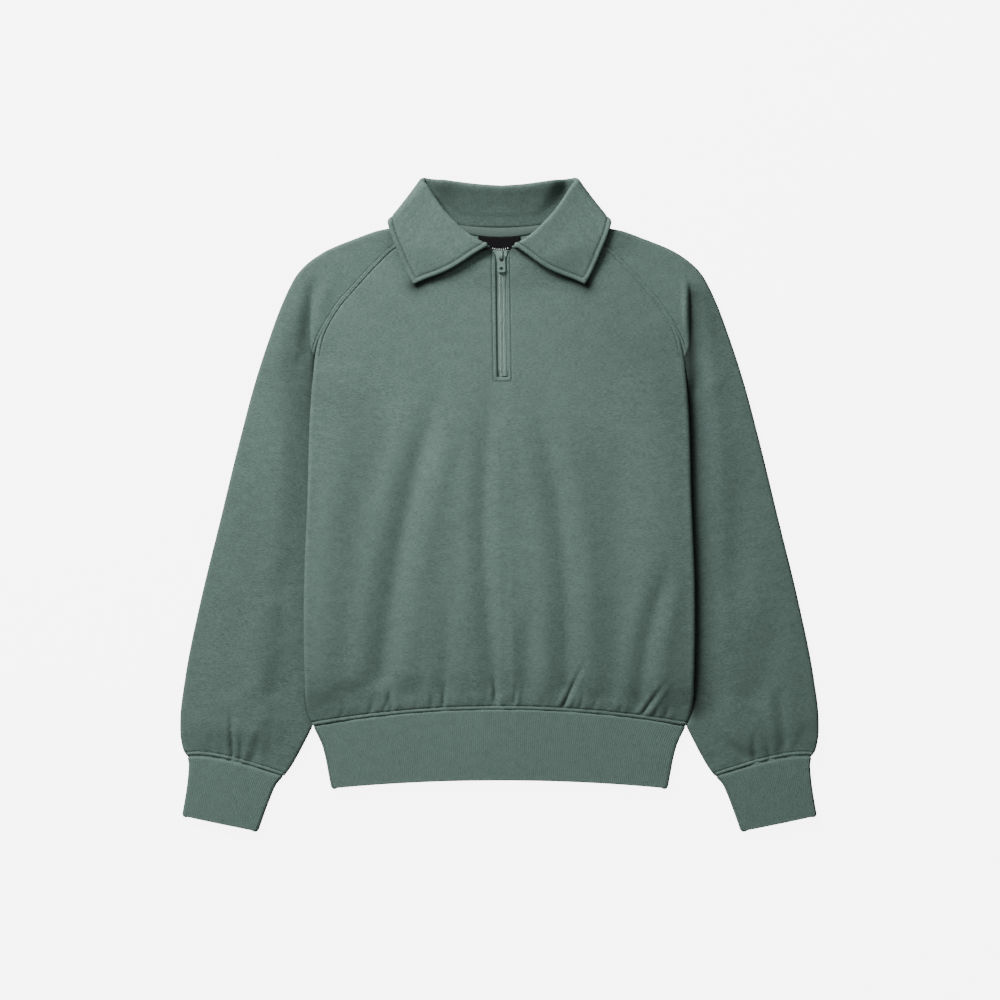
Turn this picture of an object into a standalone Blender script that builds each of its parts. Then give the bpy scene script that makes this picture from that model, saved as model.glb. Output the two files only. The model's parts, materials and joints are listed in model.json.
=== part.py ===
"""Half zip fleece top, laid flat on a surface with its front up.

The garment lies in the XY plane with +Y towards the collar and +Z out of the front.
The wearer's left is at +X.  All tables are in millimetres and the meshes in metres.
Each sewn piece is a wall made from its own grid of middle points, and the layers lie on
each other: back, then front, with the body's rolled sides over the sleeves and the
fold-over collar round the neck.
"""
import math

import bmesh
import bpy
import numpy as np

MM = 0.001
SHARP_ANGLE = math.radians(50)

# Walls
FLEECE = 3.0
RIB = 3.4
COLLAR_WALL = 3.2
TAPE_WALL = 1.0
LABEL_WALL = 0.8
SEAM_GAP = 0.8
LAP_GAP = 0.9

# Layers: heights of the walls' middle surfaces over the table
BACK_LEVEL = FLEECE / 2
RIB_LEVEL = RIB / 2
COLLAR_UNDER_LEVEL = COLLAR_WALL / 2
COLLAR_LIFT = 4.9
PANEL_SEPARATION = 6.0
NECK_SIDE_SEPARATION = 4.4
RIB_SEPARATION = 4.1
FALL_RISE = 4.4
SIDE_ROLL = 2.5
INNER_ROLL = 2.4
SLEEVE_CENTRE = BACK_LEVEL + INNER_ROLL
CROWN = 0.8
CROWN_FROM_Y = 190.0
CROWN_FULL_Y = 80.0
# Plan of the raised back over the collar's fall, and of the thinner stack beside the neck
ZONE_LOW_Y = 290.0
ZONE_LOW_RISE = 38.0
ZONE_HALF = 130.0
ZONE_SIDE_X = 126.0
ZONE_SIDE_FADE = 42.0
ZONE_LOW_FADE = 46.0
NECK_SIDE_POINT = (95.0, 345.0)
NECK_SIDE_REACH = 78.0
# How far in the sides' rolls reach, and how far the layers close up over a band
LAP_FLAT = 17.0
LAP_REACH = 45.0
ROLL_FLAT = 5.0
SLEEVE_ROLL_FLAT = 19.0
SLEEVE_ROLL_REACH = 38.0
BAND_REACH = 26.0
LAP_TOP = (150.0, 95.0)
LAP_LOW = (-222.0, -180.0)
SLANT_FLAT = 15.0
SLANT_REACH = 60.0
RELIEF_INSET = 30.0
TURN_GAP = 0.2
PARABOLA = 4.0
LEAST_SLANT = 0.45

# Zip
ZIP_TOP_Y = 301.0
ZIP_BOTTOM_Y = 150.4
ZIP_TOP_X = 2.1
ZIP_BOTTOM_X = 4.1
SLOT_HALF = 7.0
SLOT_FLARE = 4.5
SLOT_FLARE_LENGTH = 13.0
TAPE_HALF = 15.0
TAPE_TUCK = 8.0
TAPE_SINK = 2.3
COIL_SINK = 1.0
COIL_HALF = 5.6
TAPE_INNER = 0.2
SPREAD = 7.5
SPREAD_LENGTH = 7.0
SPREAD_POWER = 1.6
TAPE_HEIGHTS = (ZIP_BOTTOM_Y - TAPE_TUCK, ZIP_BOTTOM_Y + 2.0, 175.0, 200.0, 225.0, 250.0, 270.0,
                282.0, 290.0, 294.0, 296.5, 298.5, 300.0)
TAPE_OPEN = (ZIP_BOTTOM_Y - 1.0, ZIP_BOTTOM_Y + 12.0)
TAPE_STEP = (COIL_HALF - 0.4, SLOT_HALF - 0.5)
# Places across a tape: least distance past its inner edge, and least distance from the zip
TAPE_PLACES = ((0.0, 0.0), (1.0, 3.0), (2.0, COIL_HALF), (4.0, SLOT_HALF))
TAPE_FLAT_PLACE = 11.0
TAPE_FLAT_SPREAD = 0.3

# Slider and pull tab
SLIDER_TOP_Y = 299.6
SLIDER_LENGTH = 13.5
SLIDER_HALF = 6.3
SLIDER_TAIL_HALF = 4.7
SLIDER_UNDER_HALF = 3.4
SLIDER_PLATE = 1.3
PLATE_GAP = 1.8
POST_HALF = 1.0
BAIL_HALF = 1.1
BAIL_RISE = 4.2
BAIL_THICK = 1.0
BAIL_INSET = 2.2
BAIL_STEPS = 8
BAIL_POWER = 0.6
BAIL_SINK = 0.3
UNDER_PLATE = 0.9
TAPE_CLEAR = 0.35
SHOULDER_SHARE = 0.72
SHOULDER_STEPS = (2.0, 5.0)
TAIL_SHARE = 0.7
TAIL_STEPS = (3.0, 1.0)
POST_STEPS = (0.6, 2.6)
POST_SINK = (0.4, 0.6)
PULL_AXIS_STEP = 0.6
PULL_LENGTH = 20.5
PULL_HALF = 4.9
PULL_TOP_SHARE = 0.74
PULL_CORNER = 2.6
CORNER_STEPS = 4
HOLE_STEPS = 12
PULL_OVER_AXIS = 1.0
WINDOW_HALF = 1.7
WINDOW_TOP = -0.75
WINDOW_LOW = -6.2
HOLE_RISE = 4.4
HOLE_HALF_X = 2.6
HOLE_HALF_Y = 1.7
PULL_WALL = 1.3
PULL_AXIS_RISE = 1.6
PULL_TILT = 5.5

# Cloth colours, linear
SAGE = (0.105, 0.157, 0.138)
RIB_SAGE = (0.100, 0.150, 0.132)
TAPE_SAGE = (0.18, 0.25, 0.22)
LABEL_BLACK = (0.012, 0.012, 0.013)
METAL_SAGE = (0.13, 0.20, 0.17)

# Seam between body and sleeve: the raglan down to the underarm, then the body's side
SEAM_FRONT = {
    "y": (-261.4, -251.9, -236.6, -207.1, -112.7, 5.3, 123.3, 152.8, 178.8,
          192.9, 213.0, 235.4, 256.6, 281.4, 305.0, 318.0, 328.5),
    "x": (220.9, 224.8, 228.3, 229.5, 230.7, 226.6, 222.4, 220.1, 217.7,
          214.2, 204.7, 190.6, 172.3, 150.4, 125.7, 104.5, 84.0),
}
SEAM_BACK = {
    "y": SEAM_FRONT["y"][:-2] + (323.0, 338.0),
    "x": SEAM_FRONT["x"][:-2] + (101.5, 80.0),
}
# Heights at which the rows of body and sleeve meet on the raglan and just below it
SEAM_STATIONS = {
    "front": (328.5, 311.0, 287.0, 262.0, 237.0, 215.0, 202.0, 190.0, 178.8, 167.5, 156.5, 144.0,
              126.0),
    "back": (338.0, 318.0, 290.0, 262.0, 237.0, 215.0, 202.0, 190.0, 178.8, 167.5, 156.5, 144.0,
             126.0),
}
UNDERARM_Y = 178.8
ROLL_START_Y = 215.0
HEM_CORNER_Y = -261.4
HEM_HALF = 220.0
OVER_Y = 138.0
HEM_OVER_Y = -222.0
EXTRA_LAP = 9.0

# Outer edge of the sleeve, from the neck over the shoulder to the cuff
SLEEVE_OUTER = {
    "y": (-299.1, -292.1, -277.9, -254.3, -207.1, -112.7, -18.3, 76.1, 146.9, 194.1,
          241.3, 256.6, 274.3, 289.1, 302.7, 314.5, 320.5, 324.2, 326.2, 333.5, 341.5, 351.0),
    "x": (369.9, 373.5, 377.0, 377.8, 372.3, 353.4, 330.4, 307.4, 288.5, 273.2,
          255.5, 248.4, 237.8, 222.4, 200.0, 170.5, 154.5, 142.0, 131.0, 113.0, 102.5, 95.5),
}
SLEEVE_INNER_LOW = {
    "y": (-320.4, -310.9, -296.8, -279.1, -262.6),
    "x": (254.3, 247.2, 238.9, 229.5, 221.2),
}
# Rows of the sleeve: height on its inner edge, below the shared ones, and on the outer edge
SLEEVE_LOW_ROWS = (82.0, 25.0, -45.0, -112.0, -172.0, -213.0, -229.0, -245.0, -261.0, -279.1,
                   -293.0, -305.0, -314.0, -320.4)
SLEEVE_OUTER_ROWS = (351.0, 336.5, 326.4, 316.0, 300.0, 284.0, 268.0, 252.0, 236.0, 220.0, 203.0,
                     184.0, 160.0, 124.0, 72.0, 10.0, -55.0, -120.0, -165.0, -192.0, -212.0,
                     -231.0, -250.0, -266.0, -280.0, -291.0, -299.1)
CUFF_BOW = 6.3
CUFF_BOW_REACH = 70.0
CUFF_BOW_POWER = 0.7
CUFF_SEAM_OUTER_Y = -299.1

# Cuff: outer and inner edges from the seam to the end
CUFF_ROWS = {
    "outer_x": (369.3, 367.8, 368.6, 370.2, 372.8, 375.8),
    "outer_y": (-300.3, -308.6, -321.0, -335.0, -351.0, -367.8),
    "inner_x": (256.0, 263.6, 269.0, 274.2, 279.6, 285.4),
    "inner_y": (-322.4, -331.6, -343.0, -356.0, -370.5, -386.3),
    "bow": (6.3, 4.6, 2.8, 1.5, 0.4, -0.6),
}

# Body rows: height at the middle and on the seam, and the power of the row's curve
BODY_ROWS = {
    "middle": (301.8, 288.0, 273.0, 256.0, 239.0, 222.0, 206.0, 191.0, 177.0, 164.0,
               ZIP_BOTTOM_Y, 134.0, 110.0, 84.0, 55.0, 22.0, -12.0, -46.0, -80.0, -112.0,
               -140.0, -164.0, -184.0, -201.0, -216.0, -229.0, -242.1),
    "seam": SEAM_STATIONS["front"] + (96.0, 62.0, 26.0, -10.0, -46.0, -82.0, -116.0, -146.0,
                                      -172.0, -194.0, -213.0, -229.0, -245.0, -261.0),
}
NECK_ROW_POWER = 3.2
LOW_ROW_POWER = 2.0
BACK_NECK_MIDDLE = 324.7

# Hem band: half width and height of its edges from seam to end
BAND_ROWS = {
    "half": (220.3, 210.9, 206.0, 202.4, 199.2),
    "side_y": (-262.6, -282.6, -300.0, -319.0, -335.6),
    "middle_y": (-243.0, -261.0, -283.0, -305.0, -326.3),
}

# Collar from the front opening to the side fold, then from the side fold to centre back
COLLAR_FRONT = {
    "neck_x": (12.5, 27.0, 43.0, 57.5, 70.0, 80.0, 86.0, 91.2),
    "neck_y": (302.8, 303.0, 304.4, 308.3, 314.8, 323.6, 334.0, 351.3),
    "roll_x": (16.0, 27.0, 39.5, 51.0, 62.5, 73.0, 81.2, 85.7),
    "roll_y": (310.0, 314.4, 322.0, 332.0, 344.0, 357.8, 370.5, 377.5),
    "edge_x": (100.9, 106.0, 110.5, 114.8, 118.6, 122.4, 126.0, 128.6),
    "edge_y": (260.0, 268.5, 277.5, 287.0, 296.5, 306.5, 317.0, 327.5),
}
COLLAR_BACK = {
    "neck_x": (91.2, 80.0, 58.4, 30.0, 0.0),
    "neck_y": (351.3, 338.6, 330.0, 325.6, 325.1),
    "roll_x": (86.0, 72.0, 50.0, 25.0, 0.0),
    "roll_y": (386.0, 383.9, 380.6, 377.5, 375.8),
    "edge_x": (124.0, 103.0, 76.0, 40.0, 0.0),
    "edge_y": (329.0, 317.5, 307.5, 299.0, 295.5),
}
FOLD_OUTWARD = {"neck": (0.89, 0.45), "roll": (0.90, 0.43), "edge": (0.62, 0.78)}
NECK_CENTRE = np.array((0.0, 385.0))
COLLAR_SEAM_GAP = 0.6
OPENING_SHIFT = 1.8
OPENING_SHIFT_REACH = 60.0
OPENING_SHIFT_FLAT = 10.0
UPPER_LAYER_CLEAR = 2.0
# Bow of the collar's short ends, and rise of its roll behind the neck
END_BOW = 4.2
END_BOW_STATIONS = 7.0
END_BOW_WAY = np.array((-0.5, -0.86))
BACK_RISE = 9.0
BACK_RISE_FALL_REACH = 0.55
BACK_RISE_POWER = 1.6
BACK_RISE_CLEAR = 24.0
BACK_RISE_FADE = 20.0

# How many spans each form has, and how the edges at the seams roll
EDGE_STEPS = 2
EDGE_REACH = 3.6
SIDE_INSETS = (EDGE_REACH, 16.0, 25.0, 35.0, 47.0, 62.0)
PART_ROLL_GAP = 0.8
FRONT_SPANS = 12
BACK_SPANS = 3
SLEEVE_FRONT_SPANS = 8
SLEEVE_BACK_SPANS = 6
SLEEVE_SPACING = 1.4
FOLD_STEPS = 4
CUFF_SPANS = 7
BAND_SPANS = 16
BAND_TURN_STEPS = 4
COLLAR_FRONT_STATIONS = 12
COLLAR_BACK_STATIONS = 7
COLLAR_FOLD_STEPS = 5
STAND_SPANS = 3
FALL_SPANS = 6
ROLL_STEPS = 4

# Back neck tape and label
TAPE_ROWS = {"x": (0.0, 16.0, 31.0, 44.0), "upper": (326.6, 327.0, 328.0, 329.4),
             "lower": (316.0, 316.8, 318.9, 321.8)}
LABEL_HALF = 22.5
LABEL_X = 1.8
LABEL_HEIGHT = 26.0
TRIM_GAP = 0.3
NECK_TAPE_STATIONS = 15
LABEL_STATIONS = 6
TRIM_SHARES = (0.0, 0.5, 1.0)

# Long soft folds on the front: three points, half width and depth of the trough
FRONT_FOLDS = {
    "x0": (-71.0, -10.0, 36.0, 200.0, 102.0, -82.0, 220.0),
    "y0": (120.0, 150.0, 135.0, -84.0, -165.0, -118.0, -172.0),
    "x1": (-117.0, -18.0, 71.0, 181.0, 82.0, -83.0, 198.0),
    "y1": (-29.0, -3.0, -29.0, -170.0, -202.0, -147.0, -198.0),
    "x2": (-135.0, -5.0, 74.0, 171.0, 71.0, -84.0, 174.0),
    "y2": (-200.0, -225.0, -232.0, -246.0, -240.0, -178.0, -228.0),
    "half": (17.0, 12.0, 15.0, 12.0, 8.0, 11.0, 7.0),
    "depth": (2.3, 1.3, 1.8, 1.8, 1.6, 0.9, 1.2),
}
# Gathers where the front is sewn to the narrower band
HEM_GATHERS = {
    "x": (-187, -169, -153, -126, -103, -86, -68, -36, -3, 13, 31, 51, 70, 95, 112, 140, 169, 192),
    "slant": (0.1, 0.0, 0.1, -0.1, 0.1, 0.0, 0.0, -0.1, -0.1, 0.1, 0.2, -0.1, 0.3, 0.1, 0.2, 0.2,
              0.3, 0.2),
    "length": (22, 20, 26, 34, 24, 20, 26, 34, 40, 26, 22, 24, 48, 30, 22, 26, 46, 24),
    "depth": (0.9, 0.8, 1.0, 1.3, 0.9, 0.8, 1.0, 1.2, 1.5, 1.0, 0.8, 1.0, 1.9, 1.2, 0.9, 1.0, 1.8,
              1.0),
}
GATHER_HALF = 6.5
HEM_PUFF = 1.6
HEM_PUFF_REACH = 34.0

# Creases of the sleeve: ends, half width and depth, on the side given (+1 wearer's left)
SLEEVE_FOLDS = {
    "side": (-1, 1, -1, -1, 1, 1, 1),
    "x0": (226.0, 232.0, 315.0, 288.0, 338.0, 362.0, 268.0),
    "y0": (262.0, 266.0, -238.0, -262.0, -232.0, -268.0, -284.0),
    "x1": (224.0, 224.0, 316.0, 292.0, 338.0, 348.0, 294.0),
    "y1": (190.0, 190.0, -300.0, -304.0, -296.0, -294.0, -300.0),
    "half": (7.0, 8.0, 6.0, 7.0, 7.0, 6.0, 7.0),
    "depth": (1.6, 2.0, 1.8, 1.2, 1.8, 1.2, 1.3),
}
CUFF_PUFF = 1.8
CUFF_PUFF_REACH = 34.0
# Shape and ends of a fold: place and share of its ridges, and how its ends fade
RIDGE_PLACE = 1.9
RIDGE_SHARE = 0.3
FOLD_TOP_FADE = (0.1, -0.3)
FOLD_LOW_FADE = (-8.0, 12.0)
GATHER_TOP_SHARE = 1.3
GATHER_LOW_FADE = (-4.0, 6.0)
CREASE_START_FADE = (-14.0, 10.0)
CREASE_END_FADE = (6.0, -8.0)


def smooth(value):
    """Soft step from 0 to 1."""
    part = np.clip(value, 0.0, 1.0)
    return part * part * (3.0 - 2.0 * part)


def ramp(value, start, end):
    """Soft step of value from start to end."""
    return smooth((np.asarray(value, float) - start) / (end - start))


def follow(places, values, at):
    """Smooth curve through values at rising places."""
    places = np.asarray(places, float)
    values = np.asarray(values, float)
    slopes = np.gradient(values, places)
    at = np.clip(np.asarray(at, float), places[0], places[-1])
    cell = np.clip(np.searchsorted(places, at) - 1, 0, len(places) - 2)
    span = places[cell + 1] - places[cell]
    part = (at - places[cell]) / span
    rise = part * part * (3.0 - 2.0 * part)
    start_pull = part * (1.0 - part) ** 2 * span * slopes[cell]
    end_pull = part * part * (1.0 - part) * span * slopes[cell + 1]
    return values[cell] * (1.0 - rise) + values[cell + 1] * rise + start_pull - end_pull


def seam_x(y, table=SEAM_FRONT):
    """Distance of the body's seam line from the middle."""
    return follow(table["y"], table["x"], y)


# ---- heights of the layers ----------------------------------------------------------------


def collar_zone(x, y):
    """1 over the fall that lies under the back of the neck, 0 away from it."""
    across = np.abs(x)
    lower = ZONE_LOW_Y + ZONE_LOW_RISE * np.clip(across / ZONE_HALF, 0.0, 1.0) ** 2
    beside = np.clip(across - ZONE_SIDE_X, 0.0, None) / ZONE_SIDE_FADE
    below = np.clip(lower - y, 0.0, None) / ZONE_LOW_FADE
    return 1.0 - smooth(np.hypot(beside, below))


def back_height(x, y):
    """Middle surface of the back layer."""
    return BACK_LEVEL + COLLAR_LIFT * collar_zone(x, y)


def separation(x, y):
    """Distance from the back layer's middle surface to the front layer's."""
    side_x, side_y = NECK_SIDE_POINT
    reach = np.hypot(np.abs(x) - side_x, y - side_y) / NECK_SIDE_REACH
    return PANEL_SEPARATION - (PANEL_SEPARATION - NECK_SIDE_SEPARATION) * (1.0 - smooth(reach))


def front_height(x, y):
    """Middle surface of the front layer near the neck."""
    return back_height(x, y) + separation(x, y)


def roll_share(y):
    """0 on the flat raglan seam, 1 from the underarm down."""
    return ramp(y, ROLL_START_Y, UNDERARM_Y)


def lap_angle(y):
    """Quarter turn by which the body's side has rolled over the sleeve."""
    upper = ramp(y, UNDERARM_Y, OVER_Y)
    lower = ramp(y, HEM_CORNER_Y, HEM_OVER_Y)
    return 0.5 * math.pi * upper * lower


def roll_distance():
    """Closest distance of the two rolls' centres."""
    return SIDE_ROLL + INNER_ROLL + FLEECE + LAP_GAP


def side_centre(y):
    """Height of the centre of the body's side roll."""
    rest = BACK_LEVEL + SIDE_ROLL
    over = SLEEVE_CENTRE + roll_distance() - rest
    return rest + over * np.sin(lap_angle(y))


def sleeve_inner_x(y):
    """Inner edge of the sleeve, tucked under the body's side."""
    y = np.asarray(y, float)
    angle = lap_angle(y)
    extra = EXTRA_LAP * ramp(y, *LAP_TOP) * ramp(y, *LAP_LOW)
    lap = roll_distance() * (1.0 - np.cos(angle)) + extra
    tucked = seam_x(y) - lap
    low = follow(SLEEVE_INNER_LOW["y"], SLEEVE_INNER_LOW["x"], y)
    return np.where(y < HEM_CORNER_Y - 1.0, low, tucked)


def edge_angle(y):
    """Angle by which the edges at the seam are rolled inwards."""
    return 0.5 * math.pi * float(roll_share(y))


def half_gap(y):
    """Half of the distance across the garment between the two middle surfaces at the seam."""
    angle = edge_angle(y)
    slope = float(seam_x(y + 1.0) - seam_x(y - 1.0)) / 2.0
    gap = 0.5 * SEAM_GAP + 0.5 * FLEECE * math.sin(angle) + TURN_GAP * math.sin(2.0 * angle)
    return gap * math.hypot(1.0, slope)


# ---- folds ----------------------------------------------------------------------------------


def trough(distance, half, depth):
    """Soft trough with a low ridge on each side."""
    near = np.exp(-(distance / half) ** 2)
    beside = np.exp(-((np.abs(distance) - RIDGE_PLACE * half) / half) ** 2)
    return depth * (RIDGE_SHARE * beside - near)


def puff(share):
    """Swelling of cloth gathered into a band: highest at half the reach."""
    height = np.clip(2.0 * share, 0.0, None) ** 2
    return height * np.exp(1.0 - height)


def front_relief(x, y):
    """Folds of the front panel and the gathers above the hem band."""
    relief = np.zeros_like(x)
    table = FRONT_FOLDS
    for x0, y0, x1, y1, x2, y2, half, depth in zip(*table.values()):
        line = follow((y2, y1, y0), (x2, x1, x0), y)
        length = y0 - y2
        fade = ramp(y, *(y0 + share * length for share in FOLD_TOP_FADE))
        fade = fade * ramp(y, *(y2 + step for step in FOLD_LOW_FADE))
        relief += trough(x - line, half, depth) * fade
    above = y - hem_y(x)
    for x0, slant, length, depth in zip(*HEM_GATHERS.values()):
        line = x0 + slant * above
        fade = ramp(above, GATHER_TOP_SHARE * length, 0.0) * ramp(above, *GATHER_LOW_FADE)
        relief += trough(x - line, GATHER_HALF, depth) * fade
    return relief + HEM_PUFF * puff(above / HEM_PUFF_REACH)


def sleeve_relief(x, y, side):
    """Creases of one sleeve's front layer."""
    relief = np.zeros_like(x)
    for which, x0, y0, x1, y1, half, depth in zip(*SLEEVE_FOLDS.values()):
        if which != side:
            continue
        span = math.hypot(x1 - x0, y1 - y0)
        across = ((x - x0) * (y1 - y0) - (y - y0) * (x1 - x0)) / span
        along = ((x - x0) * (x1 - x0) + (y - y0) * (y1 - y0)) / span
        fade = ramp(along, *CREASE_START_FADE)
        fade = fade * ramp(along, *(span + step for step in CREASE_END_FADE))
        relief += trough(across, half, depth) * fade
    return relief


def hem_y(x):
    """Height of the hem seam across the body."""
    share = np.clip(np.abs(x) / HEM_HALF, 0.0, 1.0)
    return BODY_ROWS["middle"][-1] + (BODY_ROWS["seam"][-1] - BODY_ROWS["middle"][-1]) * share ** 2


# ---- meshes ---------------------------------------------------------------------------------


def principled(name, colour, roughness=0.9, metallic=0.0):
    """Plain Principled material."""
    material = bpy.data.materials.new(name)
    material.use_nodes = True
    shader = material.node_tree.nodes["Principled BSDF"]
    shader.inputs["Base Color"].default_value = (*colour, 1.0)
    shader.inputs["Roughness"].default_value = roughness
    shader.inputs["Metallic"].default_value = metallic
    return material


def add_object(name, mesh_data, material):
    """Object in the scene from a finished bmesh."""
    bmesh.ops.recalc_face_normals(mesh_data, faces=mesh_data.faces)
    mesh = bpy.data.meshes.new(name)
    mesh_data.to_mesh(mesh)
    mesh_data.free()
    mesh.materials.append(material)
    mesh.shade_smooth()
    mesh.set_sharp_from_angle(angle=SHARP_ANGLE)
    made = bpy.data.objects.new(name, mesh)
    bpy.context.collection.objects.link(made)
    return made


def grid_normals(grid, closed):
    """Unit normals of a grid of points."""
    down = np.gradient(grid, axis=0, edge_order=2)
    if closed:
        across = np.roll(grid, -1, axis=1) - np.roll(grid, 1, axis=1)
    else:
        across = np.gradient(grid, axis=1, edge_order=2)
    normal = np.cross(across, down)
    return normal / np.linalg.norm(normal, axis=2, keepdims=True)


def wall(name, grid, thickness, material, closed=False, missing=()):
    """Closed wall of a thickness about a grid of middle points in millimetres."""
    grid = np.asarray(grid, float)
    rows, columns = grid.shape[:2]
    offset = grid_normals(grid, closed) * (0.5 * thickness)
    made = bmesh.new()
    outer = [[made.verts.new(point * MM) for point in row] for row in grid + offset]
    inner = [[made.verts.new(point * MM) for point in row] for row in grid - offset]
    spans = columns if closed else columns - 1
    cells = {(j, i) for j in range(rows - 1) for i in range(spans)} - set(missing)
    sides = {}
    for j, i in sorted(cells):
        k = (i + 1) % columns
        corners = ((j, i), (j, k), (j + 1, k), (j + 1, i))
        made.faces.new([outer[a][b] for a, b in corners])
        made.faces.new([inner[a][b] for a, b in reversed(corners)])
        for start, end in zip(corners, corners[1:] + corners[:1]):
            if (end, start) in sides:
                del sides[(end, start)]
            else:
                sides[(start, end)] = True
    for (a, b), (c, d) in sides:
        made.faces.new([outer[c][d], outer[a][b], inner[a][b], inner[c][d]])
    for vert in [vert for vert in made.verts if not vert.link_faces]:
        made.verts.remove(vert)
    return add_object(name, made, material)


# ---- body -----------------------------------------------------------------------------------


def zip_x(y):
    """Middle line of the zip, which leans a little."""
    share = (np.asarray(y, float) - ZIP_BOTTOM_Y) / (ZIP_TOP_Y - ZIP_BOTTOM_Y)
    return ZIP_BOTTOM_X + (ZIP_TOP_X - ZIP_BOTTOM_X) * share


def slot_half(y):
    """Half width of the zip's opening."""
    flare = np.clip((np.asarray(y, float) - (ZIP_TOP_Y - SLOT_FLARE_LENGTH)) / SLOT_FLARE_LENGTH,
                    0.0, 1.1)
    return SLOT_HALF + SLOT_FLARE * flare ** 2


def edge_profile(angle):
    """Shares of an edge rolled by an angle: distance in from the edge, and its fall."""
    shares = []
    for step in range(EDGE_STEPS + 1):
        even = step / EDGE_STEPS
        inset = even + (1.0 - math.cos(0.5 * math.pi * even) - even) * math.sin(angle)
        left = max(0.0, math.sin(angle) - inset)
        shares.append((inset, 1.0 - math.sqrt(1.0 - left * left)))
    return shares


def seam_level(centre, angle, up):
    """Height of a rolled edge at the seam, above or below the roll's centre."""
    return centre + up * (0.5 * SEAM_GAP + PART_ROLL_GAP * math.sin(2.0 * angle))


def body_row(middle_y, seam_y, power, spans, seam, slotted):
    """Plan points of one row from the middle out to the side, with their roll's fall."""
    edge = float(seam_x(seam_y, seam)) - half_gap(seam_y)
    start = float(slot_half(middle_y)) if slotted else 0.0
    scale = (edge - start) / (seam_x(5.0) - start)
    insets = [EDGE_REACH + (inset - EDGE_REACH) * scale for inset in SIDE_INSETS]
    flat_end = edge - insets[-1]
    places = [start + (flat_end - start) * i / spans for i in range(spans + 1)]
    places += [edge - inset for inset in insets[-2::-1]]
    falls = [0.0] * len(places)
    for inset, fall in edge_profile(edge_angle(seam_y))[-2::-1]:
        places.append(edge - EDGE_REACH * inset)
        falls.append(fall)
    places = np.array(places, float)
    share = (places - start) / (edge - start)
    heights = middle_y + (seam_y - middle_y) * share ** power
    return places, heights, np.array(falls), edge


def body_separation(x, y, inset, seam_y):
    """Distance between the body's layers: soft in the middle, less at sides and hem."""
    gap = separation(x, y) + CROWN * ramp(y, CROWN_FROM_Y, CROWN_FULL_Y)
    hem = 1.0 - ramp(y - hem_y(x), 0.0, BAND_REACH)
    rib_gap = RIB_LEVEL + RIB_SEPARATION - BACK_LEVEL
    gap = gap + (rib_gap - gap) * hem
    below = float(roll_share(seam_y))
    return gap + (2.0 * SIDE_ROLL - gap) * below * (1.0 - smooth((inset - ROLL_FLAT) / LAP_REACH))


def body_lift(inset, seam_y):
    """Rise of the body's layers over the sleeve that lies under its side."""
    rise = float(side_centre(seam_y)) - BACK_LEVEL - SIDE_ROLL
    return rise * (1.0 - smooth((inset - LAP_FLAT) / LAP_REACH))


def body_panel(front):
    """Grid of one body panel from its left side to its right."""
    seam = SEAM_FRONT if front else SEAM_BACK
    spans = FRONT_SPANS if front else BACK_SPANS
    rows = []
    count = len(BODY_ROWS["middle"])
    for index, (middle_y, seam_y) in enumerate(zip(*BODY_ROWS.values())):
        fade = (1.0 - index / (count - 1)) ** 2
        power = LOW_ROW_POWER + (NECK_ROW_POWER - LOW_ROW_POWER) * fade
        if not front:
            middle_y += (BACK_NECK_MIDDLE - BODY_ROWS["middle"][0]) * fade
            seam_y = (SEAM_STATIONS["back"] + BODY_ROWS["seam"][len(SEAM_STATIONS["back"]):])[index]
        places, heights, falls, edge = body_row(middle_y, seam_y, power, spans, seam, front)
        row = []
        for side in (-1, 1):
            x = side * places
            if front:
                slant = float(zip_x(middle_y)) * (1.0 - smooth((places - SLANT_FLAT) / SLANT_REACH))
                x = x + slant
            z = body_heights(x, heights, falls, edge - places, seam_y, front)
            half = np.stack([x, heights, z], axis=1)
            row.append(half[::-1] if side < 0 else half)
        if front:
            rows.append(np.concatenate(row))
        else:
            rows.append(np.concatenate([row[0], row[1][1:]]))
    return np.array(rows)


def body_heights(x, y, falls, inset, seam_y, front):
    """Heights of a row's points, rolled down or up to the seam at its end."""
    level = back_height(x, y) + body_lift(inset, seam_y)
    side = float(side_centre(seam_y))
    target = seam_level(side, edge_angle(seam_y), 1 if front else -1)
    if front:
        level = level + body_separation(x, y, inset, seam_y)
        level = level + front_relief(x, y) * smooth(inset / RELIEF_INSET)
    return level + (target - level) * falls


def build_body(material):
    """Front panel with the zip's opening, and the back panel."""
    grid = body_panel(front=True)
    bottom = BODY_ROWS["middle"].index(ZIP_BOTTOM_Y)
    middle = grid.shape[1] // 2 - 1
    wall("front", grid, FLEECE, material, missing=[(j, middle) for j in range(bottom)])
    wall("back", body_panel(front=False), FLEECE, material)


# ---- sleeves --------------------------------------------------------------------------------


def cuff_bow(x, rise):
    """Bow of a row at the cuff seam, fullest towards the sleeve's outer edge."""
    inner, outer = SLEEVE_INNER_LOW["x"][0], SLEEVE_OUTER["x"][0]
    share = np.clip((outer - np.asarray(x, float)) / (outer - inner), 0.0, 1.0)
    return rise * np.sin(math.pi * share ** CUFF_BOW_POWER)


def sleeve_bow(x, row_y):
    """Bow of the rows next to the cuff seam."""
    reach = 1.0 - ramp(row_y - CUFF_SEAM_OUTER_Y, 0.0, CUFF_BOW_REACH)
    return cuff_bow(x, CUFF_BOW) * reach


def sleeve_edge(y, seam):
    """Plan point of the sleeve's edge at the seam, and the edge's direction."""
    line = [float(seam_x(at, seam) if y > UNDERARM_Y else sleeve_inner_x(at))
            for at in (y - 1.0, y, y + 1.0)]
    return np.array((line[1] + half_gap(y), y)), unit(np.array((line[2] - line[0], 2.0)))


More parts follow.
